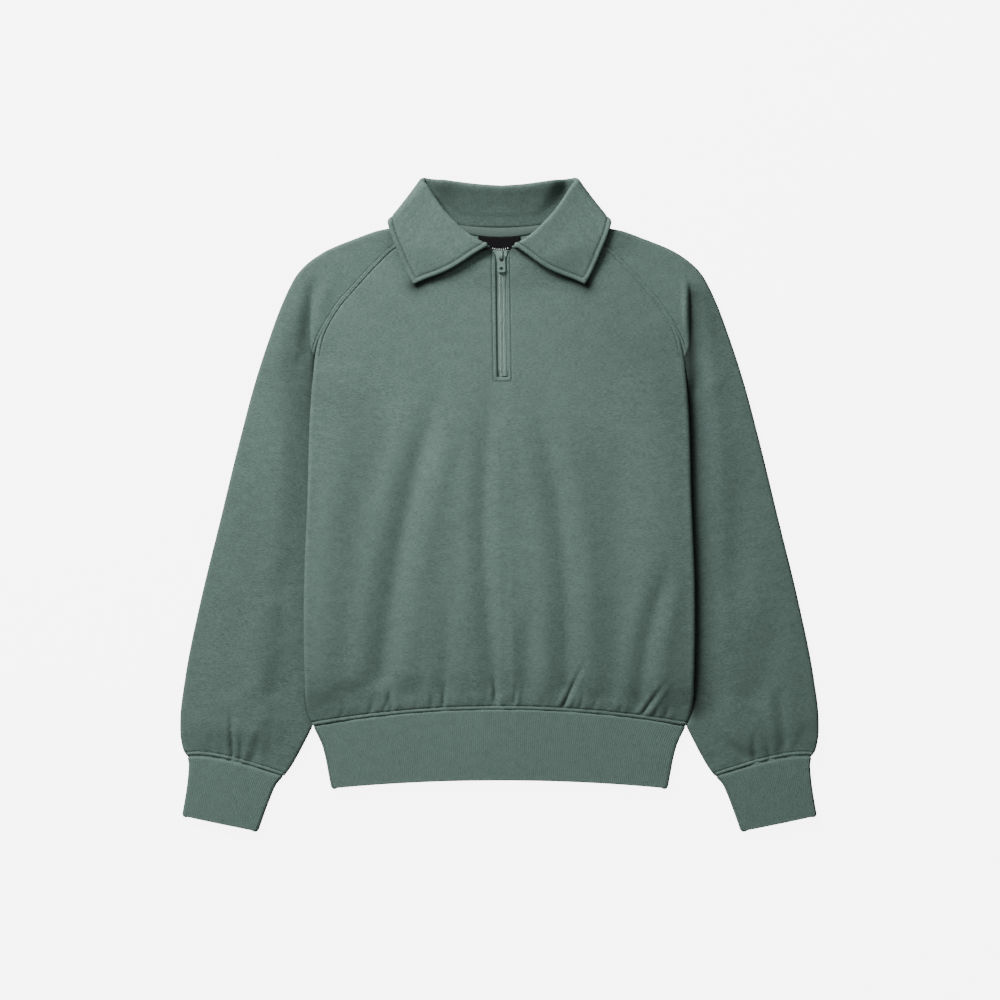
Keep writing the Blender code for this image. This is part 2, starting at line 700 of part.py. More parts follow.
def sleeve_outer(outer_y):
    """Plan point of the middle surface at the sleeve's outer edge, and the way outwards."""
    x = [float(follow(SLEEVE_OUTER["y"], SLEEVE_OUTER["x"], outer_y + step)) for step in (-1, 0, 1)]
    way = unit(np.array((2.0, x[0] - x[2])))
    return np.array((x[1], outer_y)) - way * 0.5 * FLEECE, way


def sleeve_layer(seam_y, seam, end, outer_y, spans):
    """Plan points, shares along the row and falls from the seam to the outer fold."""
    start, edge = sleeve_edge(seam_y, seam)
    length = float(np.linalg.norm(end - start))
    way = (end - start) / length
    reach = EDGE_REACH / max(LEAST_SLANT, abs(way[0] * edge[1] - way[1] * edge[0]))
    inset = []
    falls = []
    for share, fall in edge_profile(edge_angle(seam_y)):
        inset.append(reach * share)
        falls.append(fall)
    for i in range(1, spans + 1):
        inset.append(reach + (length - reach) * (i / spans) ** SLEEVE_SPACING)
        falls.append(0.0)
    inset = np.array(inset)
    share = inset / length
    points = start + (end - start) * share[:, None]
    points[:, 1] += sleeve_bow(points[:, 0], outer_y)
    return points, share, inset, np.array(falls)


def sleeve_separation(x, y, share, inset, seam_y, outer_y):
    """Distance between the sleeve's layers."""
    below = float(roll_share(seam_y))
    crown = CROWN * PARABOLA * share * (1.0 - share) * below
    gap = separation(x, y) + crown
    near = 1.0 - smooth((inset - SLEEVE_ROLL_FLAT) / SLEEVE_ROLL_REACH)
    gap = gap + (2.0 * INNER_ROLL - gap) * below * near
    above = outer_y - CUFF_SEAM_OUTER_Y
    gap = gap + CUFF_PUFF * puff(above / CUFF_PUFF_REACH) * np.sin(math.pi * share)
    cuff = float(1.0 - ramp(above, 0.0, BAND_REACH))
    return gap + (RIB_LEVEL + RIB_SEPARATION - BACK_LEVEL - gap) * cuff


def sleeve_row(side, front_y, back_y, outer_y):
    """One row round the sleeve from its front seam over the fold to its back seam."""
    outer, way = sleeve_outer(outer_y)
    roll = 0.5 * float(sleeve_separation(outer[0], outer[1], 1.0, 200.0, front_y, outer_y))
    fold = outer - way * roll
    layers = []
    for seam_y, seam, spans, front in ((front_y, SEAM_FRONT, SLEEVE_FRONT_SPANS, True),
                                       (back_y, SEAM_BACK, SLEEVE_BACK_SPANS, False)):
        points, share, inset, falls = sleeve_layer(seam_y, seam, fold, outer_y, spans)
        x, y = points[:, 0], points[:, 1]
        level = back_height(x, y)
        target = seam_level(SLEEVE_CENTRE, edge_angle(front_y), 1 if front else -1)
        if front:
            level = level + sleeve_separation(x, y, share, inset, front_y, outer_y)
            level = level + sleeve_relief(x, y, side) * np.sin(math.pi * share) ** 2
        z = level + (target - level) * falls
        layers.append(np.stack([x, y, z], axis=1))
    top, under = layers[0][-1], layers[1][-1]
    middle = 0.5 * (top + under)
    turned = []
    for angle in np.linspace(0.5 * math.pi, -0.5 * math.pi, FOLD_STEPS + 1)[1:-1]:
        plan = middle[:2] + way * roll * math.cos(angle)
        turned.append((*plan, middle[2] + 0.5 * (top[2] - under[2]) * math.sin(angle)))
    row = np.concatenate([layers[0], np.array(turned), layers[1][::-1]])
    row[:, 0] *= side
    return row


def build_sleeve(name, side, material):
    """One raglan sleeve, sewn along its inner edge."""
    front = SEAM_STATIONS["front"] + SLEEVE_LOW_ROWS
    back = SEAM_STATIONS["back"] + SLEEVE_LOW_ROWS
    grid = np.array([sleeve_row(side, *ys) for ys in zip(front, back, SLEEVE_OUTER_ROWS)])
    wall(name, grid, FLEECE, material)


# ---- rib ------------------------------------------------------------------------------------


def flat_ring(left, right, spans, bow):
    """Closed row round two layers of rib between two plan ends."""
    roll = 0.5 * RIB_SEPARATION
    length = float(np.linalg.norm(right - left))
    way = (right - left) / length
    inset = RIB / 2 + roll
    places = inset + (length - 2.0 * inset) * np.arange(spans + 1) / spans
    turn = np.linspace(0.5 * math.pi, -0.5 * math.pi, BAND_TURN_STEPS + 1)[1:-1]
    upper = [(place, RIB_SEPARATION) for place in places]
    lower = [(place, 0.0) for place in places[::-1]]
    far = [(places[-1] + roll * math.cos(a), roll + roll * math.sin(a)) for a in turn]
    near = [(places[0] - roll * math.cos(a), roll + roll * math.sin(a)) for a in turn[::-1]]
    row = []
    for place, height in upper + far + lower + near:
        x, y = left + way * place
        row.append((x, y + float(bow(x)), RIB_LEVEL + height))
    return row


def build_cuff(name, side, material):
    """Doubled rib cuff."""
    rows = []
    for outer_x, outer_y, inner_x, inner_y, rise in zip(*CUFF_ROWS.values()):
        inner = np.array((inner_x, inner_y))
        outer = np.array((outer_x, outer_y))
        rows.append(flat_ring(inner, outer, CUFF_SPANS, lambda x, rise=rise: cuff_bow(x, rise)))
    grid = np.array(rows)
    grid[:, :, 0] *= side
    wall(name, grid, RIB, material, closed=True)


def build_hem_band(material):
    """Doubled rib band round the hem."""
    rows = []
    for half, side_y, middle_y in zip(*BAND_ROWS.values()):
        left = np.array((-half, side_y))
        right = np.array((half, side_y))
        rise = middle_y - side_y
        rows.append(flat_ring(left, right, BAND_SPANS, lambda x: rise * (1.0 - (x / half) ** 2)))
    wall("hem_band", rows, RIB, material, closed=True)


# ---- collar ---------------------------------------------------------------------------------


def collar_line(table, part, count):
    """Plan points along one line of the collar at even shares of its rows."""
    rows = np.arange(len(table[part + "_x"]))
    at = np.linspace(0.0, rows[-1], count)
    return np.stack([follow(rows, table[part + "_x"], at), follow(rows, table[part + "_y"], at)],
                    axis=1)


def collar_levels(x, y, rise, under):
    """Height of the collar's upper and under layer at a point."""
    return float(front_height(x, y)) + rise, under


def collar_stations():
    """Half collar: plan points of neck, roll and edge, the turn and the bow of each station."""
    front = {part: collar_line(COLLAR_FRONT, part, COLLAR_FRONT_STATIONS) for part in FOLD_OUTWARD}
    back = {part: collar_line(COLLAR_BACK, part, COLLAR_BACK_STATIONS) for part in FOLD_OUTWARD}
    stations = []
    for i in range(COLLAR_FRONT_STATIONS):
        bow = END_BOW * max(0.0, 1.0 - i / END_BOW_STATIONS) ** 2
        stations.append(({part: front[part][i] for part in front}, 0.5 * math.pi, bow))
    for angle in np.linspace(0.5 * math.pi, -0.5 * math.pi, COLLAR_FOLD_STEPS + 2)[1:-1]:
        weight = 0.5 * (1.0 + math.sin(angle))
        plan = {part: front[part][-1] * weight + back[part][0] * (1.0 - weight) for part in front}
        stations.append((plan, angle, 0.0))
    for i in range(COLLAR_BACK_STATIONS):
        stations.append(({part: back[part][i] for part in back}, -0.5 * math.pi, 0.0))
    return stations


def back_rise(x, y, share):
    """Rise of the collar behind the neck, gone before it comes under the front's roll."""
    clear = follow(COLLAR_FRONT["roll_y"], COLLAR_FRONT["roll_x"], y) - BACK_RISE_CLEAR
    fade = 1.0 - smooth((abs(x) - clear) / BACK_RISE_FADE)
    return BACK_RISE * float(fade) * max(0.0, share) ** BACK_RISE_POWER


def collar_point(plan, angle, outward, levels, share):
    """Point of the collar at a plan place: turned round the side fold by its angle."""
    high, low = collar_levels(plan[0], plan[1], *levels)
    radius = 0.5 * (high - low)
    push = np.array(outward) * radius * max(0.0, math.cos(angle))
    x, y = plan + push
    lift = 0.0 if angle > -0.5 * math.pi else back_rise(x, y, share)
    return np.array((x, y, 0.5 * (high + low) + radius * math.sin(angle) + lift))


def unit(vector):
    """Vector of length one."""
    return vector / np.linalg.norm(vector)


def collar_section(plan, angle, bow):
    """Points from the neck seam up the stand, round the roll and down the fall."""
    neck, roll, edge = plan["neck"], plan["roll"], plan["edge"]
    up = unit(unit(roll - neck) + unit(roll - edge))
    axis = roll - up * (0.5 * FALL_RISE + 0.5 * COLLAR_WALL)
    neck = neck + (unit(NECK_CENTRE - neck) + unit(roll - neck)) * COLLAR_SEAM_GAP
    stand = (0.0, BACK_LEVEL + COLLAR_LIFT)
    fall = (FALL_RISE, COLLAR_UNDER_LEVEL)
    outward = {part: np.array(way) for part, way in FOLD_OUTWARD.items()}
    section = []
    for i in range(STAND_SPANS):
        share = i / STAND_SPANS
        way = outward["neck"] * (1.0 - share) + outward["roll"] * share
        section.append(collar_point(neck + (axis - neck) * share, angle, way, stand, share))
    stand_top = collar_point(axis, angle, outward["roll"], stand, 1.0)
    fall_top = collar_point(axis, angle, outward["roll"], fall, 1.0)
    centre = 0.5 * (stand_top + fall_top)
    arm = 0.5 * (stand_top - fall_top)
    top = np.array((*up, 0.0))
    top = unit(top - arm * (top @ arm) / (arm @ arm)) * np.linalg.norm(arm)
    for step in range(ROLL_STEPS + 1):
        turn = math.pi * step / ROLL_STEPS
        section.append(centre + arm * math.cos(turn) + top * math.sin(turn))
    for i in range(1, FALL_SPANS + 1):
        share = i / FALL_SPANS
        way = outward["roll"] * (1.0 - share) + outward["edge"] * share
        place = axis + (edge - axis) * share + END_BOW_WAY * bow * math.sin(math.pi * share) ** 2
        rise = 1.0 - share / BACK_RISE_FALL_REACH
        section.append(collar_point(place, angle, way, fall, rise))
    return np.array(section)


def build_collar(material):
    """Fold-over collar in one piece."""
    half = np.array([collar_section(*station) for station in collar_stations()])
    mirrored = half[::-1] * np.array((-1.0, 1.0, 1.0))
    grid = np.concatenate([half, mirrored[1:]])
    shift = OPENING_SHIFT * (1.0 - ramp(np.abs(grid[:, :, 0]), OPENING_SHIFT_FLAT, OPENING_SHIFT_REACH))
    grid[:, :, 0] += shift * (grid[:, :, 2] > BACK_LEVEL + COLLAR_LIFT + UPPER_LAYER_CLEAR)
    wall("collar", grid, COLLAR_WALL, material)


# ---- neck tape, label and zip tapes ------------------------------------------------------------


def build_neck_tape(material):
    """Narrow tape over the back neck seam."""
    level = BACK_LEVEL + COLLAR_LIFT + 0.5 * COLLAR_WALL + 0.5 * TAPE_WALL + TRIM_GAP
    places = np.linspace(-TAPE_ROWS["x"][-1], TAPE_ROWS["x"][-1], NECK_TAPE_STATIONS)
    upper = follow(TAPE_ROWS["x"], TAPE_ROWS["upper"], np.abs(places))
    lower = follow(TAPE_ROWS["x"], TAPE_ROWS["lower"], np.abs(places))
    rows = []
    for share in TRIM_SHARES:
        y = upper + (lower - upper) * share
        rows.append(np.stack([places, y, np.full_like(places, level)], axis=1))
    wall("neck_tape", rows, TAPE_WALL, material)


def build_label(material):
    """Plain woven label under the neck tape."""
    places = LABEL_X + np.linspace(-LABEL_HALF, LABEL_HALF, LABEL_STATIONS)
    top = follow(TAPE_ROWS["x"], TAPE_ROWS["lower"], np.abs(places)) - SEAM_GAP
    rows = []
    for share in TRIM_SHARES:
        y = top - LABEL_HEIGHT * share
        z = back_height(places, y) + 0.5 * (FLEECE + LABEL_WALL) + SEAM_GAP
        rows.append(np.stack([places, y, z], axis=1))
    wall("neck_label", rows, LABEL_WALL, material)


def tape_inner(y):
    """Distance of a tape's inner edge from the zip's middle line."""
    spread = np.clip((y - (ZIP_TOP_Y - SPREAD_LENGTH)) / SPREAD_LENGTH, 0.0, 1.0)
    return TAPE_INNER + SPREAD * spread ** SPREAD_POWER


def build_zip_tape(name, side, material):
    """One tape of the zip, raised in the opening and tucked under the front."""
    rows = []
    for y in TAPE_HEIGHTS:
        inner = float(tape_inner(np.array(y)))
        opened = float(ramp(y, *TAPE_OPEN))
        places = [max(inner + step, least) for step, least in TAPE_PLACES]
        row = []
        for place in (*places, TAPE_FLAT_PLACE + TAPE_FLAT_SPREAD * inner, TAPE_HALF):
            x = float(zip_x(y)) + side * place
            sink = TAPE_SINK - (TAPE_SINK - COIL_SINK) * opened * (
                1.0 - float(ramp(place, *TAPE_STEP)))
            z = float(zip_surface(x, y)) - sink
            row.append((x, y, z))
        rows.append(row)
    wall(name, rows, TAPE_WALL, material)


def zip_surface(x, y):
    """Middle surface of the front beside the zip."""
    return back_height(x, y) + separation(x, y) + CROWN * ramp(y, CROWN_FROM_Y, CROWN_FULL_Y)


# ---- slider and pull tab -------------------------------------------------------------------------


def prism(outline, low, high):
    """Closed prism over a plan outline, as a bmesh."""
    made = bmesh.new()
    under = [made.verts.new((x * MM, y * MM, low * MM)) for x, y in outline]
    over = [made.verts.new((x * MM, y * MM, high * MM)) for x, y in outline]
    made.faces.new(under[::-1])
    made.faces.new(over)
    for i, vert in enumerate(under):
        k = (i + 1) % len(under)
        made.faces.new((vert, under[k], over[k], over[i]))
    return made


def slider_outline(half, tail, top, bottom):
    """Plan outline of a slider's plate: broad shoulders, narrower tail."""
    x = float(zip_x(0.5 * (top + bottom)))
    right = [(half * SHOULDER_SHARE, top)]
    right += [(half, top - step) for step in SHOULDER_STEPS]
    right += [(tail, bottom + step) for step in TAIL_STEPS]
    right.append((tail * TAIL_SHARE, bottom))
    left = [(-px, py) for px, py in reversed(right)]
    return [(x + px, py) for px, py in right + left]


def join_by_union(base, others):
    """Boolean unions that make one body, with the added pieces removed."""
    for other in others:
        union = base.modifiers.new("join", "BOOLEAN")
        union.operation = "UNION"
        union.object = other
        other.hide_render = True
        other.display_type = "WIRE"
    return base


def arch_profile(y_from, y_to, base, rise, thick):
    """Side outline of the bail: an arch from one end of the plate to the other."""
    reach = 0.5 * (y_to - y_from)
    middle = 0.5 * (y_from + y_to)
    outer = []
    inner = []
    for step in range(BAIL_STEPS + 1):
        angle = math.pi * step / BAIL_STEPS
        height = math.sin(angle) ** BAIL_POWER
        outer.append((middle - reach * math.cos(angle), base + rise * height))
        inner.append((middle + (reach - thick) * math.cos(angle), base + (rise - thick) * height))
    return outer + inner


def side_prism(profile, x, half):
    """Closed prism of a side outline across the zip."""
    made = bmesh.new()
    near = [made.verts.new(((x - half) * MM, y * MM, z * MM)) for y, z in profile]
    far = [made.verts.new(((x + half) * MM, y * MM, z * MM)) for y, z in profile]
    made.faces.new(near)
    made.faces.new(far[::-1])
    for i, vert in enumerate(near):
        k = (i + 1) % len(near)
        made.faces.new((vert, far[i], far[k], near[k]))
    return made


def slider_level():
    """Height of the underside of the slider's top plate."""
    y = SLIDER_TOP_Y - 0.5 * SLIDER_LENGTH
    return float(zip_surface(zip_x(y), y)) - COIL_SINK + 0.5 * TAPE_WALL + TAPE_CLEAR


def build_slider(material):
    """Slider: two plates round the tapes, joined by a post, with a bail on top."""
    bottom = SLIDER_TOP_Y - SLIDER_LENGTH
    level = slider_level()
    low = level - PLATE_GAP - UNDER_PLATE
    x = float(zip_x(SLIDER_TOP_Y))
    plate = slider_outline(SLIDER_HALF, SLIDER_TAIL_HALF, SLIDER_TOP_Y, bottom)
    base = add_object("slider", prism(plate, level, level + SLIDER_PLATE), material)
    under_plate = slider_outline(SLIDER_UNDER_HALF, SLIDER_UNDER_HALF, SLIDER_TOP_Y, bottom)
    under = add_object("slider_under", prism(under_plate, low, low + UNDER_PLATE), material)
    post_top, post_low = (SLIDER_TOP_Y - step for step in POST_STEPS)
    post_outline = [(x - POST_HALF, post_top), (x - POST_HALF, post_low),
                    (x + POST_HALF, post_low), (x + POST_HALF, post_top)]
    sink, rise = POST_SINK
    post = add_object("slider_post", prism(post_outline, low + sink, level + rise), material)
    top = level + SLIDER_PLATE - BAIL_SINK
    arch = arch_profile(bottom + BAIL_INSET, SLIDER_TOP_Y - BAIL_INSET, top, BAIL_RISE, BAIL_THICK)
    bail = add_object("slider_bail", side_prism(arch, x, BAIL_HALF), material)
    return join_by_union(base, [post, under, bail])


def pull_axis():
    """Point of the hinge axis of the pull tab."""
    y = SLIDER_TOP_Y - 0.5 * SLIDER_LENGTH + PULL_AXIS_STEP
    return float(zip_x(y)), y, slider_level() + SLIDER_PLATE + PULL_AXIS_RISE


def oval(x, y, half_x, half_y, count=HOLE_STEPS):
    """Plan outline of an oval."""
    return [(x + half_x * math.cos(2.0 * math.pi * i / count),
             y + half_y * math.sin(2.0 * math.pi * i / count)) for i in range(count)]


def rounded_plate(half_top, half_low, top, bottom, corner):
    """Plan outline of the pull tab: straight sides, rounded end."""
    outline = [(half_top, top), (-half_top, top)]
    for step in range(CORNER_STEPS + 1):
        angle = math.pi + 0.5 * math.pi * step / CORNER_STEPS
        outline.append((-half_low + corner + corner * math.cos(angle),
                        bottom + corner + corner * math.sin(angle)))
    for step in range(CORNER_STEPS + 1):
        angle = 1.5 * math.pi + 0.5 * math.pi * step / CORNER_STEPS
        outline.append((half_low - corner + corner * math.cos(angle),
                        bottom + corner + corner * math.sin(angle)))
    return outline


def build_pull_tab(material):
    """Pull tab with a window round the bail and an oval hole at its end."""
    x, y, z = pull_axis()
    hinge = bpy.data.objects.new("pull_hinge", None)
    hinge.location = (x * MM, y * MM, z * MM)
    bpy.context.collection.objects.link(hinge)
    half = 0.5 * PULL_WALL
    bottom = PULL_OVER_AXIS - PULL_LENGTH
    outline = rounded_plate(PULL_HALF * PULL_TOP_SHARE, PULL_HALF, PULL_OVER_AXIS, bottom,
                            PULL_CORNER)
    tab = add_object("pull_tab", prism(outline, -half, half), material)
    window = [(-WINDOW_HALF, WINDOW_TOP), (-WINDOW_HALF, WINDOW_LOW),
              (WINDOW_HALF, WINDOW_LOW), (WINDOW_HALF, WINDOW_TOP)]
    hole = oval(0.0, bottom + HOLE_RISE, HOLE_HALF_X, HOLE_HALF_Y)
    cut_top = add_object("pull_window", prism(window, -PULL_WALL, PULL_WALL), material)
    cut_end = add_object("pull_hole", prism(hole, -PULL_WALL, PULL_WALL), material)
    for cutter in (cut_top, cut_end):
        cut = tab.modifiers.new("cut", "BOOLEAN")
        cut.operation = "DIFFERENCE"
        cut.object = cutter
        cutter.hide_render = True
        cutter.display_type = "WIRE"
        cutter.parent = hinge
    tab.parent = hinge
    hinge.rotation_euler = (math.radians(PULL_TILT), 0.0, 0.0)
    return tab


def main():
    """Clear the scene and build every piece."""
    for item in list(bpy.data.objects):
        bpy.data.objects.remove(item, do_unlink=True)
    fleece = principled("fleece", SAGE)
    rib = principled("rib", RIB_SAGE)
    tape = principled("tape", TAPE_SAGE, roughness=0.7)
    label = principled("label", LABEL_BLACK, roughness=0.6)
    metal = principled("metal", METAL_SAGE, roughness=0.4, metallic=0.6)
    build_body(fleece)
    build_sleeve("sleeve_left", 1, fleece)
    build_sleeve("sleeve_right", -1, fleece)
    build_cuff("cuff_left", 1, rib)
    build_cuff("cuff_right", -1, rib)
    build_hem_band(rib)
    build_collar(fleece)
    build_neck_tape(fleece)
    build_label(label)
    build_zip_tape("zip_tape_left", 1, tape)
    build_zip_tape("zip_tape_right", -1, tape)
    build_slider(metal)
    build_pull_tab(metal)
    bpy.context.view_layer.update()


main()
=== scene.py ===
"""Half zip fleece top laid flat with its front up: cloth, sewing, zip and finishes.

Lengths are in millimetres until a mesh is made.  +X is the wearer's left, +Y the collar.
"""
from __future__ import annotations

import json
import logging
import math
from dataclasses import dataclass, field
from enum import Enum
from typing import Any, Callable

import bpy
import numpy as np
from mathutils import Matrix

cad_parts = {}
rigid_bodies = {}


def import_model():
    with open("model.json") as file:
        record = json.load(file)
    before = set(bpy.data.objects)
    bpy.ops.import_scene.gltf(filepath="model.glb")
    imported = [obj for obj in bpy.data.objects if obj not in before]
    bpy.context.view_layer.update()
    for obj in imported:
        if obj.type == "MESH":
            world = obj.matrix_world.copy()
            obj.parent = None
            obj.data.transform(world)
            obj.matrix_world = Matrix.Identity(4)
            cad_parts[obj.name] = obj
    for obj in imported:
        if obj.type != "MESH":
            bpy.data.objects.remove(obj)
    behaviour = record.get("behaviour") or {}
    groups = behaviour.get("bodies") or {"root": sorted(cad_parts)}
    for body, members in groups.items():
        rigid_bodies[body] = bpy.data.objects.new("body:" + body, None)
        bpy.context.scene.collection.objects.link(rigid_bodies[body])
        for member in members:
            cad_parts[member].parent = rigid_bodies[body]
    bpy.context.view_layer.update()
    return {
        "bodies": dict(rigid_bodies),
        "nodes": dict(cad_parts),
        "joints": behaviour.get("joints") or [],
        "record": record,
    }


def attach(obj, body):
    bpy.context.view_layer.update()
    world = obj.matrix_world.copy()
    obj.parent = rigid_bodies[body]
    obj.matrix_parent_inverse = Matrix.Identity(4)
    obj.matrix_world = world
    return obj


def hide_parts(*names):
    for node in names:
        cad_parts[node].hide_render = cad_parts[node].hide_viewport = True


LOG = logging.getLogger("half_zip")
MM = 0.001
FAR = 99.0
INSIDE = 200.0
Grid = np.ndarray


# ---- curves --------------------------------------------------------------------------------


def smooth(value: Any) -> Any:
    """Soft step from 0 to 1."""
    part = np.clip(value, 0.0, 1.0)
    return part * part * (3.0 - 2.0 * part)


def ramp(value: Any, start: float, end: float) -> Any:
    """Soft step of a value from start to end."""
    return smooth((np.asarray(value, float) - start) / (end - start))


def bell(distance: Any, half: float) -> Any:
    """Smooth bump of height one about zero."""
    return np.exp(-((np.asarray(distance, float) / half) ** 2))


def unit(vector: Grid) -> Grid:
    """Vector of length one."""
    return vector / np.linalg.norm(vector)


def follow(places: Any, values: Any, at: Any) -> Any:
    """Smooth curve through values at rising places.

    Args:
        places: rising places of the values.
        values: the values there.
        at: where the curve is read.

    Returns:
        The curve's values.
    """
    places = np.asarray(places, float)
    values = np.asarray(values, float)
    slopes = np.gradient(values, places)
    at = np.clip(np.asarray(at, float), places[0], places[-1])
    cell = np.clip(np.searchsorted(places, at) - 1, 0, len(places) - 2)
    span = places[cell + 1] - places[cell]
    part = (at - places[cell]) / span
    rise = part * part * (3.0 - 2.0 * part)
    start_pull = part * (1.0 - part) ** 2 * span * slopes[cell]
    end_pull = part * part * (1.0 - part) * span * slopes[cell + 1]
    return values[cell] * (1.0 - rise) + values[cell + 1] * rise + start_pull - end_pull


def refine(values: Any, at: Grid) -> Grid:
    """Values of a table at fractions of its rows."""
    return follow(np.arange(len(values)), values, at)


def trough(distance: Any, half: float, depth: float) -> Any:
    """Soft trough of a fold with a low ridge on each side."""
    beside = bell(np.abs(distance) - 2.0 * half, 0.9 * half)
    return depth * (0.45 * beside - bell(distance, 0.9 * half))


def puff(share: Any) -> Any:
    """Swelling of cloth gathered into a band: highest at half the reach."""
    height = np.clip(2.0 * share, 0.0, None) ** 2
    return height * np.exp(1.0 - height)


def passed(values: Grid, value: float, backwards: bool = False) -> float:
    """Fractional index where values first reach a value.

    Args:
        values: values that rise from the end where the search begins.
        value: the value.
        backwards: whether the search begins at the last index.

    Returns:
        The index, counted from the first value.
    """
    rising = values[::-1] if backwards else values
    stop = int(np.argmax(rising >= value)) or 1
    place = stop - 1 + (value - rising[stop - 1]) / (rising[stop] - rising[stop - 1] + 1e-9)
    return len(values) - 1 - place if backwards else place


# ---- how the layers lie ----------------------------------------------------------------------


@dataclass(frozen=True)
class SeamLine:
    """Seam between body and sleeve: heights and distances from the middle."""

    y: tuple[float, ...]
    x: tuple[float, ...]

    def at(self, y: Any) -> Any:
        """Distance of the seam from the middle at a height."""
        return follow(self.y, self.x, y)


SIDE_Y = (-261.4, -251.9, -236.6, -207.1, -112.7, 5.3, 123.3, 152.8, 178.8,
          192.9, 213.0, 235.4, 256.6, 281.4, 305.0)
SIDE_X = (220.9, 224.8, 228.3, 229.5, 230.7, 226.6, 222.4, 220.1, 217.7,
          214.2, 204.7, 190.6, 172.3, 150.4, 125.7)
SEAM_ROWS = (328.5, 311.0, 287.0, 262.0, 237.0, 215.0, 202.0, 190.0, 178.8, 167.5, 156.5,
             144.0, 126.0)
BACK_ROWS = (338.0, 318.0, 290.0) + SEAM_ROWS[3:]
RAGLAN_ROWS = np.arange(4, 58)


@dataclass(frozen=True)
class Lay:
    """Levels and edges of the cloth layers as the top lies."""

    fleece: float = 3.0
    rib: float = 3.4
    back_level: float = 1.5
    rib_level: float = 1.7
    rib_separation: float = 4.1
    panel_separation: float = 6.0
    neck_separation: float = 4.4
    neck_side: tuple[float, float] = (95.0, 345.0)
    neck_side_reach: float = 78.0
    collar_lift: float = 4.9
    side_roll: float = 2.5
    inner_roll: float = 2.4
    seam_gap: float = -0.6
    lap_gap: float = -0.2
    corner_tuck: float = 0.4
    part_gap: float = 0.3
    part_roll_gap: float = 0.8
    edge_reach: float = 3.6
    crown: float = 0.8
    hem_middle: float = -242.1
    hem_side: float = -261.0
    hem_half: float = 220.0
    underarm: float = 178.8
    cuff_y: float = -299.1
    cuff_x: tuple[float, float] = (254.3, 369.9)
    front_seam: SeamLine = SeamLine(SIDE_Y + (318.0, 328.5), SIDE_X + (104.5, 84.0))
    back_seam: SeamLine = SeamLine(SIDE_Y + (323.0, 338.0), SIDE_X + (101.5, 80.0))
    cuff_side: SeamLine = SeamLine((-320.4, -310.9, -296.8, -279.1, -262.6),
                                   (254.3, 247.2, 238.9, 229.5, 221.2))

    def collar_zone(self, x: Any, y: Any) -> Any:
        """1 over the fall under the back of the neck, 0 away from it.

        Args:
            x: places across.
            y: heights on the panel.

        Returns:
            Shares of the collar's lift.
        """
        across = np.abs(x)
        lower = 290.0 + 38.0 * np.clip(across / 130.0, 0.0, 1.0) ** 2
        beside = np.clip(across - 126.0, 0.0, None) / 42.0
        below = np.clip(lower - y, 0.0, None) / 46.0
        return 1.0 - smooth(np.hypot(beside, below))

    def back_height(self, x: Any, y: Any) -> Any:
        """Middle surface of the back layer."""
        return self.back_level + self.collar_lift * self.collar_zone(x, y)

    def separation(self, x: Any, y: Any) -> Any:
        """Distance from the back layer's middle surface to the front layer's.

        Args:
            x: places across.
            y: heights on the panel.

        Returns:
            The distances, least beside the neck.
        """
        reach = np.hypot(np.abs(x) - self.neck_side[0], y - self.neck_side[1])
        fall = self.panel_separation - self.neck_separation
        return self.panel_separation - fall * (1.0 - smooth(reach / self.neck_side_reach))

    def front_height(self, x: Any, y: Any) -> Any:
        """Middle surface of the front layer near the neck."""
        return self.back_height(x, y) + self.separation(x, y)

    def crowned(self, y: Any) -> Any:
        """Rise of the front below the chest."""
        return self.crown * ramp(y, 190.0, 80.0)

    @property
    def rib_gap(self) -> float:
        """Distance from the back layer to the front layer where a band begins."""
        return self.rib_level + self.rib_separation - self.back_level

    def roll_share(self, y: Any) -> Any:
        """0 on the flat raglan seam, 1 from the underarm down."""
        return ramp(y, 215.0, self.underarm)

    def edge_angle(self, y: float) -> float:
        """Angle by which the edges at the seam are rolled inwards."""
        return 0.5 * math.pi * float(self.roll_share(y))

    def lap_angle(self, y: Any) -> Any:
        """Quarter turn by which the body's side has rolled over the sleeve."""
        return 0.5 * math.pi * ramp(y, self.underarm, 112.0) * ramp(y, -261.4, -185.0)

    @property
    def roll_distance(self) -> float:
        """Closest distance of the two rolls' centres."""
        return self.side_roll + self.inner_roll + self.fleece + self.lap_gap

    @property
    def sleeve_centre(self) -> float:
        """Height of the centre of the sleeve's inner roll."""
        return self.back_level + self.inner_roll

    def side_centre(self, y: Any) -> Any:
        """Height of the centre of the body's side roll."""
        rest = self.back_level + self.side_roll
        return rest + (self.sleeve_centre + self.roll_distance - rest) * np.sin(self.lap_angle(y))

    def sleeve_inner_x(self, y: Any) -> Any:
        """Inner edge of the sleeve, tucked under the body's side.

        Args:
            y: heights.

        Returns:
            Distances from the middle.
        """
        extra = 9.0 * ramp(y, 150.0, 95.0) * ramp(y, -222.0, -180.0)
        lap = self.roll_distance * (1.0 - np.cos(self.lap_angle(y))) + extra
        return np.where(np.asarray(y) < -262.4, self.cuff_side.at(y), self.front_seam.at(y) - lap)

    def half_gap(self, y: float) -> float:
        """Half of the distance between the two middle surfaces at the seam.

        Args:
            y: height on the seam.

        Returns:
            The distance, measured across.
        """
        angle = self.edge_angle(y)
        slope = float(self.front_seam.at(y + 1.0) - self.front_seam.at(y - 1.0)) / 2.0
        gap = 0.5 * (self.seam_gap + self.fleece * math.sin(angle))
        return (gap - self.corner_tuck * math.sin(2.0 * angle)) * math.hypot(1.0, slope)

    def seam_level(self, centre: float, angle: float, up: int) -> float:
        """Height of a rolled edge at the seam, above or below the roll's centre."""
        return centre + up * (self.part_gap + self.part_roll_gap * math.sin(2.0 * angle))

